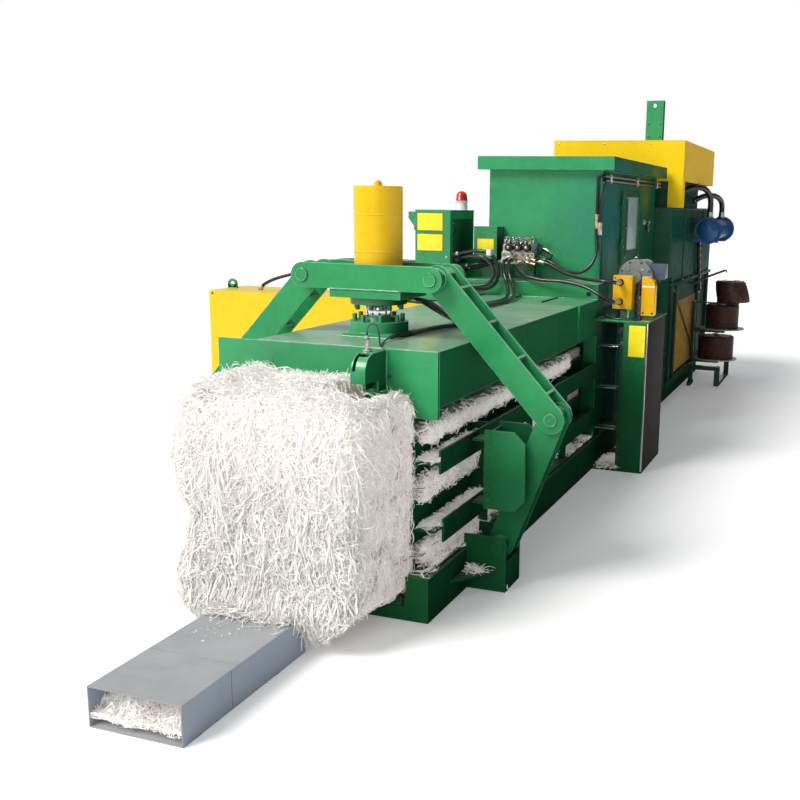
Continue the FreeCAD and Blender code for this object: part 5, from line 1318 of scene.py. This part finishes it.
# ---------------------------------------------------------------- wire-tying station
def station():
    T = Piece("post_trim", "frame", [post_steel, steel, plate_yellow, plate_rim, green, dark_steel, zinc, green_low, white_paint])
    T.box((1.2802, 4.078, 0.022), (1.2830, 5.006, 1.541), 0, 0.0008)
    T.box((1.2660, 4.0665, 0.022), (1.2836, 4.0702, 1.541), 1, 0.001)
    T.box((1.089, 4.0688, 1.199), (1.262, 4.0702, 1.521), 3, 0.0004)
    T.box((1.093, 4.0680, 1.203), (1.258, 4.0692, 1.517), 2, 0.0003)
    T.box((1.12, 4.0795, 1.5585), (1.2895, 5.058, 1.5610), 1, 0.0008)
    T.box((0.762, 4.0785, 1.541), (1.291, 4.0800, 1.561), 4, 0.0003)
    for i in range(8):
        T.hexa((1.005, 4.184, 0.140 + 0.190 * i), (0, -1, 0), 0.016, 0.012, 5)
    T.lathe((1.000, 4.199, 1.452), (0, -1, 0), [(0, 0.048), (0.030, 0.048), (0.034, 0.043), (0.034, 0.024), (0.050, 0.022), (0.052, 0.015)], 26, 5)
    T.lathe((1.000, 4.199, 1.300), (0, -1, 0), [(0, 0.030), (0.022, 0.030), (0.026, 0.024)], 22, 5)
    for x in (0.80, 0.99, 1.14):
        T.hexa((x, 4.115, 1.5595), (0, 0, 1), 0.012, 0.012, 5)
    T.tube(spline([(1.055, 4.14, 1.575), (1.058, 4.14, 1.63), (1.065, 4.135, 1.66)]), 0.010, 8, 6)
    T.tube(spline([(0.78, 4.30, 1.572), (0.88, 4.16, 1.570), (1.00, 4.12, 1.571), (1.10, 4.13, 1.570), (1.15, 4.17, 1.571)]), 0.009, 8, 5)
    T.done()

    C = Piece("drive_cover_trim", "frame", [amber, zinc, white_paint, black_steel, yellow_pale])
    for z in (1.935, 1.740):
        C.lathe((0.960, 4.181, z), (0, -1, 0), [(0, 0.036), (0.006, 0.036), (0.009, 0.031), (0.022, 0.029)], 24, 3)
        C.hexa((0.960, 4.160, z), (0, -1, 0), 0.027, 0.024, 1, False)
    C.box((0.887, 4.1785, 1.992), (1.080, 4.1802, 2.000), 4, 0.0004)
    C.box((1.1585, 4.2835, 1.884), (1.2915, 4.2852, 1.900), 2, 0.0004)
    # thin white sheet on top of the right cover: a painted highlight along its top edge
    C.box((1.160, 4.2855, 1.9875), (1.248, 4.3950, 1.9902), 2, 0.0006)
    C.box((1.2918, 4.290, 1.605), (1.2932, 4.392, 1.900), 4, 0.0004)
    for x in (0.903, 1.064):
        for z in (1.690, 1.978):
            C.hexa((x, 4.1802, z), (0, -1, 0), 0.008, 0.006, 1)
    for x in (1.178, 1.272):
        C.hexa((x, 4.2852, 1.625), (0, -1, 0), 0.008, 0.006, 3)
    C.done()

    M = Piece("twister_motor_detail", "frame", [cast, slate, dark_steel, zinc, black_plastic, grey])
    M.lathe((1.055, 4.400, 1.978), (0, 1, 0), [(0, 0.045), (0.002, 0.068), (0.026, 0.072), (0.030, 0.150), (0.034, 0.172), (0.040, 0.178), (0.086, 0.178), (0.092, 0.170), (0.096, 0.150),
                                               (0.118, 0.150), (0.122, 0.157), (0.130, 0.157), (0.134, 0.150), (0.152, 0.150), (0.156, 0.157), (0.164, 0.157), (0.168, 0.150), (0.186, 0.150), (0.190, 0.157),
                                               (0.198, 0.157), (0.202, 0.150), (0.220, 0.150), (0.224, 0.157), (0.232, 0.157), (0.236, 0.150), (0.328, 0.150), (0.336, 0.165), (0.370, 0.165), (0.380, 0.120)], 48, 0)
    for k in range(8):
        t = math.radians(45 * k + 22.5)
        M.hexa((1.055 + 0.156 * math.cos(t), 4.437, 1.978 + 0.156 * math.sin(t)), (0, -1, 0), 0.012, 0.011, 2)
    for k in range(4):
        t = math.radians(90 * k + 45)
        M.hexa((1.055 + 0.100 * math.cos(t), 4.429, 1.978 + 0.100 * math.sin(t)), (0, -1, 0), 0.010, 0.009, 3)
    M.torus((1.055, 4.455, 2.160), (0, 1, 0), 0.017, 0.0045, 20, 8, 3)
    M.box((1.200, 4.500, 1.960), (1.350, 4.660, 2.110), 1, 0.010)
    M.box((1.196, 4.494, 1.952), (1.354, 4.502, 2.116), 1, 0.003)
    M.lathe((1.275, 4.56, 1.960), (0, 0, -1), [(0, 0.018), (0.02, 0.018), (0.022, 0.013), (0.045, 0.012)], 16, 4)
    # gear pump standing between the two covers
    M.box((1.086, 4.300, 1.562), (1.154, 4.420, 1.800), 2, 0.008)
    M.lathe((1.119, 4.345, 1.800), (0, 0, 1), [(0, 0.034), (0.050, 0.034), (0.054, 0.028), (0.110, 0.026), (0.112, 0.016), (0.135, 0.015)], 24, 2)
    for z in (1.62, 1.70, 1.77):
        M.cyl((1.110, 4.302, z), (1.110, 4.290, z), 0.010, mat=4, seg=14, c=0.002)
        M.cyl((1.136, 4.302, z), (1.136, 4.292, z), 0.008, mat=3, seg=14, c=0.002)
    M.box((0.962, 4.502, 1.560), (1.148, 4.698, 1.824), 2, 0.004)
    M.tube(spline([(1.22, 4.53, 2.112), (1.20, 4.50, 2.14), (1.16, 4.47, 2.155), (1.12, 4.45, 2.140)]), 0.009, 8, 3)
    M.done(34, ("twister_motor",))

    S = Piece("twister_shaft_trim", "twister_shaft", [dark_steel, zinc])
    for z in (0.38, 0.806, 1.237):
        for k in range(20):
            t = 2 * math.pi * k / 20
            S.box((1.150 + 0.081 * math.cos(t) - 0.006, 4.500 + 0.081 * math.sin(t) - 0.006, z + 0.002), (1.150 + 0.081 * math.cos(t) + 0.006, 4.500 + 0.081 * math.sin(t) + 0.006, z + 0.058), 0)
    S.done()
    N = Piece("needle_carriage_trim", "needle_carriage", [dark_steel, zinc])
    for z in (0.415, 0.841, 1.272):
        N.lathe((-3.642, 4.284, z), (1, 0, 0), [(0, 0.04), (0.02, 0.04), (0.025, 0.03), (0.05, 0.026)], 24, 1)
    N.done()

    G = Piece("guide_rod_collars", "frame", [steel, dark_steel])
    for z in (0.415, 0.841, 1.272):
        for y in (4.220, 4.348):
            G.cyl((0.9745, y, z), (0.955, y, z), 0.018, mat=1, c=0.002)
            G.cyl((0.7355, y, z), (0.748, y, z), 0.018, mat=1, c=0.002)
    G.done()


# ---------------------------------------------------------------- needle cover
def needle_side():
    N = Piece("needle_cover_trim", "frame", [yellow_pale, painted_gap_shade, green, zinc, plate_rim])
    # near-black disc: painted shade of a hole
    N.cyl((-3.872, 4.1492, 1.607), (-3.872, 4.1478, 1.607), 0.013, mat=1, seg=24)
    N.box((-3.916, 4.1478, 1.6345), (-0.765, 4.1492, 1.6395), 0, 0.0004)
    for x in (-2.90, -1.85):
        N.box((x, 4.1480, 0.26), (x + 0.004, 4.1492, 1.632), 4, 0)
    for x in (-3.80, -2.95, -2.84, -1.90, -1.79, -0.84):
        for z in (0.34, 1.56):
            N.lathe((x, 4.149, z), (0, -1, 0), [(0, 0.010), (0.003, 0.009), (0.004, 0.005)], 16, 3)
    N.lathe((-3.850, 4.5185, 1.690), (0, 1, 0), [(0, 0.061), (0.002, 0.0635), (0.023, 0.0635), (0.025, 0.061)], 40, 2, False)
    N.lathe((-3.850, 4.5185, 1.690), (0, 1, 0), [(0, 0.0345), (0.025, 0.0345)], 40, 2, False)
    for y in (4.5185, 4.5435):
        ring = [(math.cos(2 * math.pi * k / 40), math.sin(2 * math.pi * k / 40)) for k in range(40)]
        vs = [(-3.850 + 0.061 * a, y, 1.690 + 0.061 * b) for a, b in ring] + [(-3.850 + 0.0345 * a, y, 1.690 + 0.0345 * b) for a, b in ring]
        N.add(vs, [(k, (k + 1) % 40, 40 + (k + 1) % 40, 40 + k) for k in range(40)], 2)
    N.box((-3.9135, 4.5185, 1.6405), (-3.7865, 4.5435, 1.690), 2, 0.002)
    N.weld((-3.914, 4.5175, 1.643), (-3.786, 4.5175, 1.643), 0.005, 2, 0.011)
    N.done()


# ---------------------------------------------------------------- rear housing, cooler, mast
def rear():
    H = Piece("housing_trim", "frame", [green_deep, dark_panel, ochre, green_low, zinc, painted_gap_shade, rubber])
    H.box((0.860, 7.530, 1.655), (0.905, 11.20, 1.692), 0, 0.003)
    H.box((0.860, 7.535, 0.305), (0.8635, 11.235, 1.654), 1, 0)
    H.box((0.8633, 8.020, 0.410), (0.8670, 9.880, 1.400), 2, 0.0008)
    for y in (7.62, 7.93, 9.92, 10.9):
        H.box((0.8630, y, 0.31), (0.905, y + 0.07, 1.654), 1, 0.003)
    H.box((0.8630, 7.54, 0.305), (0.912, 11.2, 0.385), 1, 0.003)
    for y in (8.55, 10.25):
        # near-black strips: painted shade in the panel seams
        H.box((0.8598, y, 1.70), (0.8625, y + 0.006, 2.66), 5, 0)
        H.box((0.860, y + 0.02, 1.70), (0.868, y + 0.07, 2.66), 0, 0.001)
    H.weld((0.862, 7.56, 2.662), (0.862, 11.2, 2.662), 0.005, 0, 0.03)
    for y in (8.5, 9.0, 9.5, 10.0, 10.5):
        H.hexa((0.885, y, 1.692), (0, 0, 1), 0.010, 0.009, 4)
    H.tube(spline([(0.875, 7.60, 1.76), (0.877, 7.668, 1.700), (0.880, 8.05, 1.48), (0.885, 8.444, 1.265), (0.888, 9.00, 0.95), (0.888, 9.561, 0.628), (0.885, 9.80, 0.36), (0.885, 9.915, 0.188)]), 0.012, 10, 6)
    H.done()

    L = Piece("ribbed_hose", "frame", [black_plastic, zinc])
    pts = spline([(0.892, 9.740, 2.18), (0.894, 9.762, 2.134), (0.894, 9.84, 1.93), (0.894, 9.93, 1.70), (0.894, 10.00, 1.50), (0.894, 10.027, 1.433)], 16)
    L.tube(pts, 0.03, 14, 0, [0.026 + 0.006 * (i % 2) for i in range(len(pts))])
    for i in range(9):
        q = pts[4 + i * 8]
        L.box((q[0] + 0.024, q[1] - 0.012, q[2] - 0.016), (q[0] + 0.034, q[1] + 0.012, q[2] + 0.016), 1, 0.003)
    L.cyl((0.862, 10.03, 1.420), (0.90, 10.03, 1.420), 0.035, mat=1, c=0.004)
    L.done()

    C = Piece("rear_cover_trim", "frame", [yellow_rear, plate_rim, zinc])
    C.box((-0.789, 7.5965, 3.528), (0.967, 7.5982, 3.536), 0, 0.0004)
    for y in (7.70, 8.45, 9.40, 10.30):
        for z in (3.07, 3.49):
            C.lathe((0.969, y, z), (1, 0, 0), [(0, 0.011), (0.003, 0.010), (0.005, 0.005)], 14, 2)
    for x in (-0.72, -0.10, 0.52):
        C.lathe((x, 7.598, 3.49), (0, -1, 0), [(0, 0.011), (0.003, 0.010), (0.005, 0.005)], 14, 2)
    C.done()

    K = Piece("cooler_trim", "frame", [blue, zinc, green_deep])
    for y in (9.0, 9.036, 10.464, 10.5):
        K.torus((1.130, y, 2.370), (0, 1, 0), 0.1895, 0.0035, 56, 6, 0)
    for yy, d in ((9.0, -1), (10.5, 1)):
        for k in range(12):
            t = math.radians(30 * k + 15)
            K.hexa((1.130 + 0.174 * math.cos(t), yy + (0 if d < 0 else 0), 2.370 + 0.174 * math.sin(t)), (0, d, 0), 0.013, 0.014, 0)
    for y in (9.32, 10.18):
        K.torus((1.130, y, 2.370), (0, 1, 0), 0.1445, 0.006, 48, 8, 0)
    K.lathe((1.130, 8.935, 2.370), (0, -1, 0), [(0, 0.03), (0.012, 0.028), (0.018, 0.018)], 20, 0)
    K.done()

    # left side: seam straps, a bolted hatch, louvres and a filler on the tank
    (lx, ly, lz), (hx, hy, hz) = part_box("rear_housing")
    B = Piece("housing_left_trim", "frame", [green_deep, zinc, painted_gap_shade, green_low])
    for y in (7.78, 8.70, 9.62, 10.54):
        B.box((lx - 0.006, y, 0.33), (lx - 0.0005, y + 0.075, 2.62), 0, 0.0015)
        for k in range(9):
            B.hexa((lx - 0.006, y + 0.0375, 0.42 + 0.265 * k), (-1, 0, 0), 0.009, 0.007, 1)
    B.box((lx - 0.010, 8.84, 0.62), (lx - 0.0005, 9.54, 1.42), 3, 0.003)
    for y in (8.87, 9.51):
        for z in (0.65, 1.02, 1.39):
            B.hexa((lx - 0.010, y, z), (-1, 0, 0), 0.009, 0.008, 1)
    B.tube(spline([(lx - 0.010, 9.12, 1.20), (lx - 0.045, 9.12, 1.20), (lx - 0.045, 9.26, 1.20), (lx - 0.010, 9.26, 1.20)], 8), 0.008, 10, 1)
    for k in range(11):
        z = 1.70 + 0.062 * k
        B.prism("XZ", [(lx - 0.0005, z), (lx - 0.0005, z + 0.040), (lx - 0.004, z + 0.040), (lx - 0.026, z + 0.004), (lx - 0.026, z)], 9.78, 10.44, 0)
    B.weld((lx - 0.001, 7.60, 0.330), (lx - 0.001, 11.2, 0.330), 0.005, 0, 0.03)
    B.lathe((-0.40, 10.55, 2.682), (0, 0, 1), [(0, 0.060), (0.012, 0.060), (0.014, 0.045), (0.070, 0.045), (0.074, 0.052), (0.110, 0.052), (0.116, 0.044), (0.118, 0.002)], 28, 1)
    for x in (-0.60, 0.60):
        B.torus((x, 11.0, 2.725), (1, 0, 0), 0.036, 0.010, 28, 10, 3)
    B.done()
    (lx, ly, lz), (hx, hy, hz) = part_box("hopper")
    G = Piece("hopper_left_trim", "frame", [green, zinc])
    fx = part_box("feed_chamber")[0][0]
    for y in (4.75, 5.70, 6.65, 7.45):
        G.box((fx - 0.006, y, 0.34), (fx - 0.0005, y + 0.06, 1.52), 0, 0.0015)
        for k in range(5):
            G.hexa((fx - 0.006, y + 0.03, 0.44 + 0.25 * k), (-1, 0, 0), 0.009, 0.007, 1)
    G.done()

    A = Piece("mast_trim", "frame", [green, painted_gap_shade, zinc])
    A.torus((0.476, 7.9990, 4.010), (0, 1, 0), 0.0275, 0.004, 32, 8, 0)
    A.weld((0.366, 7.998, 3.542), (0.586, 7.998, 3.542), 0.006, 0, 0.014)
    for z in (3.62, 3.78):
        for x in (0.40, 0.55):
            A.hexa((x, 8.0, z), (0, -1, 0), 0.013, 0.012, 0)
    A.done()


# ---------------------------------------------------------------- wire rack
def spools():
    def coil(h, r, n):
        pr = []
        for k in range(n):
            z = h * k / n
            pr += [(z, r - 0.0030 + 0.0012 * math.sin(k * 1.3)), (z + h / n * 0.5, r + 0.0008 * math.sin(k * 2.1) - 0.0010)]
        return pr + [(h, r - 0.01)]

    def ties(S, c, d, r, h, mat, seed):
        g = np.random.default_rng(seed)
        d0, u, w = axes(d)
        c = Vector(c)
        for k in range(14):
            t = g.uniform(0, 6.28)
            q = u * math.cos(t) + w * math.sin(t)
            s = u * -math.sin(t) + w * math.cos(t)
            a = c + q * (r - g.uniform(0.0, 0.04)) + d0 * (h + 0.003)
            S.tube(spline([a, a + d0 * g.uniform(0.006, 0.016) + s * 0.02, a + s * g.uniform(0.03, 0.06) + d0 * 0.004, a + s * g.uniform(0.05, 0.09) + q * 0.006 - d0 * 0.004], 4), 0.0035, 6, mat)

    for body, x, z, rd, rw, hw, tag in (("spool_lower", 1.250, 0.425, 0.324, 0.266, 0.347, "lower"), ("spool_middle", 1.320, 0.890, 0.335, 0.246, 0.358, "middle")):
        S = Piece("wire_spool_%s_wound" % tag, body, [spool_wire, disc_green, zinc])
        S.lathe((x, 9.7, z), (0, 0, 1), [(0, 0.0315), (0, rd - 0.002), (0.002, rd), (0.014, rd), (0.016, rd - 0.002), (0.016, 0.0315)], 64, 1, False)
        pr = [(0.016, 0.0315)] + [(0.016 + a, b) for a, b in coil(hw - 0.015, rw, 44)] + [(0.016 + hw - 0.006, rw - 0.016), (0.016 + hw, rw * 0.6), (0.016 + hw, 0.0315)]
        S.lathe((x, 9.7, z), (0, 0, 1), pr, 64, 0, False)
        ties(S, (x, 9.7, z), (0, 0, 1), rw - 0.012, hw + 0.014, 2, 3 if tag == "lower" else 4)
        for k in range(4):
            t = math.radians(90 * k + 20)
            S.hexa((x + (rd - 0.02) * math.cos(t), 9.7 + (rd - 0.02) * math.sin(t), z + 0.016), (0, 0, 1), 0.010, 0.009, 2)
        S.done(32, ("wire_spool_%s" % tag,))
    S = Piece("wire_spool_upper_wound", "frame", [spool_wire, zinc])
    # a coil without flanges whose windings have slid sideways over each other
    rows = [(0.0, 0.060), (0.0, 0.215), (0.004, 0.226)]
    for k in range(40):
        t = k / 39
        rows.append((0.008 + 0.288 * t, 0.2325 + 0.012 * math.sin(math.pi * (0.15 + 0.75 * t)) - 0.018 * t * t + 0.0012 * (k % 2)))
    rows += [(0.304, 0.205), (0.306, 0.060)]
    vs, fs = [], []
    for h, r in rows:
        cx = 1.478 - 0.066 * h / 0.306
        for k in range(64):
            t = 2 * math.pi * k / 64
            vs.append((cx + r * math.cos(t), 9.7 + r * math.sin(t), 1.3060 + h))
    for i in range(len(rows) - 1):
        for k in range(64):
            a, b = i * 64 + k, i * 64 + (k + 1) % 64
            fs.append((a, b, b + 64, a + 64))
    S.add(vs, fs, 0, True)
    c = Vector((1.412, 9.7, 1.3060))
    ties(S, c, (0, 0, 1), 0.20, 0.304, 1, 9)
    S.done(32, ("wire_spool_upper",))
    R = Piece("rack_trim", "frame", [green_low, zinc, green])
    R.lathe((1.250, 9.7, 0.805), (0, 0, 1), [(0, 0.034), (0.012, 0.034), (0.014, 0.020)], 20, 1)
    for y in (9.66, 9.74):
        R.hexa((0.905, y, 1.286), (0, 0, 1), 0.010, 0.010, 1)
        R.hexa((1.293, y, 0.300), (0, 0, 1), 0.012, 0.010, 1)
    R.weld((0.862, 9.638, 1.270), (0.915, 9.638, 1.270), 0.006, 0, 0.012)
    R.box((0.917, 9.6485, 0.292), (1.328, 9.6500, 0.3015), 2, 0.0004)
    g = spline([(1.35, 9.60, 1.786), (1.372, 9.62, 1.776), (1.37, 9.64, 1.755)], 5)
    R.tube([q - Vector((0.02, 0, 0.006)) for q in g], 0.010, 10, 0)
    R.done()


# ---------------------------------------------------------------- chute
def chute_parts():
    C = Piece("chute_trim", "frame", [grey, painted_gap_shade, green_low])
    # near-black line down the chute side: painted shade in the seam
    C.box((0.2408, -1.626, 0.012), (0.2416, -1.620, 0.222), 1, 0)
    C.weld((0.2415, -1.623, 0.010), (0.2415, -1.623, 0.224), 0.0022, 0, 0.012)
    C.weld((-0.333, -1.560, 0.2285), (0.240, -1.560, 0.2285), 0.0024, 0, 0.012)
    for a in (1, -1):
        x0 = 0.245 if a > 0 else 0.340
        q = [(x0, 0.0), (0.5748, 0.0), (0.5748, 0.165), (0.495, 0.086), (x0, 0.086)]
        C.prism("XZ", [(a * px, pz) for px, pz in (q if a > 0 else q[::-1])], -0.205, -0.190, 2)
    for y in (-1.95, -1.2):
        C.box((0.2408, y, 0.0), (0.2440, y + 0.05, 0.006), 0, 0.001)
    C.done()


press_parts()
sensor()
frame_parts()
manifold()
cabinet()
station()
needle_side()
rear()
spools()
chute_parts()


# ---------------------------------------------------------------- floor, lights
def stage():
    me = bpy.data.meshes.new("floor")
    s = 60.0
    me.from_pydata([(-s, -s, -0.0005), (s, -s, -0.0005), (s, s, -0.0005), (-s, s, -0.0005)], [], [(0, 1, 2, 3)])
    fl = bpy.data.objects.new("floor", me)
    bpy.context.scene.collection.objects.link(fl)
    fm = soft("floor_pale", (0.95, 0.95, 0.945), rough=(0.7, 0.85), bump=0.02, scale=3, var=0.01)
    fm.node_tree.nodes["Principled BSDF"].inputs["Specular IOR Level"].default_value = 0.1
    fm.node_tree.nodes["Principled BSDF"].inputs["Emission Color"].default_value = (1, 1, 1, 1)
    fm.node_tree.nodes["Principled BSDF"].inputs["Emission Strength"].default_value = 0.16
    me.materials.append(fm)
    w = bpy.data.worlds.new("studio")
    bpy.context.scene.world = w
    w.use_nodes = True
    nt = w.node_tree
    nt.nodes.clear()
    out = nt.nodes.new("ShaderNodeOutputWorld")
    lp = nt.nodes.new("ShaderNodeLightPath")
    b1, b2 = nt.nodes.new("ShaderNodeBackground"), nt.nodes.new("ShaderNodeBackground")
    b1.inputs[0].default_value = (0.93, 0.97, 1.0, 1)
    tc = nt.nodes.new("ShaderNodeTexCoord")
    sx = nt.nodes.new("ShaderNodeSeparateXYZ")
    nt.links.new(tc.outputs["Generated"], sx.inputs[0])
    nt.links.new(span(nt, sx.outputs["X"], -0.25, 0.6, 0.66, 0.17), b1.inputs[1])
    b2.inputs[0].default_value = (1, 1, 1, 1)
    b2.inputs[1].default_value = 1.0
    mx = nt.nodes.new("ShaderNodeMixShader")
    nt.links.new(lp.outputs["Is Camera Ray"], mx.inputs[0])
    nt.links.new(b1.outputs[0], mx.inputs[1])
    nt.links.new(b2.outputs[0], mx.inputs[2])
    nt.links.new(mx.outputs[0], out.inputs[0])

    sd = bpy.data.lights.new("key_sun", "SUN")
    sd.energy = 3.0
    sd.angle = math.radians(28)
    sd.color = (1.0, 0.985, 0.96)
    so = bpy.data.objects.new("key_sun", sd)
    bpy.context.scene.collection.objects.link(so)
    so.location = (-4, -8, 9)
    so.rotation_euler = Vector((0.45, 0.62, -0.74)).to_track_quat("-Z", "Y").to_euler()

    def area(name, loc, aim, size, energy, col=(1, 1, 1)):
        ld = bpy.data.lights.new(name, "AREA")
        ld.shape = "RECTANGLE"
        ld.size, ld.size_y = size
        ld.energy = energy
        ld.color = col
        lo = bpy.data.objects.new(name, ld)
        bpy.context.scene.collection.objects.link(lo)
        lo.location = loc
        lo.rotation_euler = (Vector(aim) - Vector(loc)).to_track_quat("-Z", "Y").to_euler()

    area("front_light", (1.5, -9.0, 4.5), (0.0, 0.5, 1.0), (4, 3), 140, (1, 1, 1))
    vs = bpy.context.scene.view_settings
    vs.view_transform = "Standard"
    vs.look = "None"
    vs.exposure = 0.0
    vs.gamma = 1.0


stage()
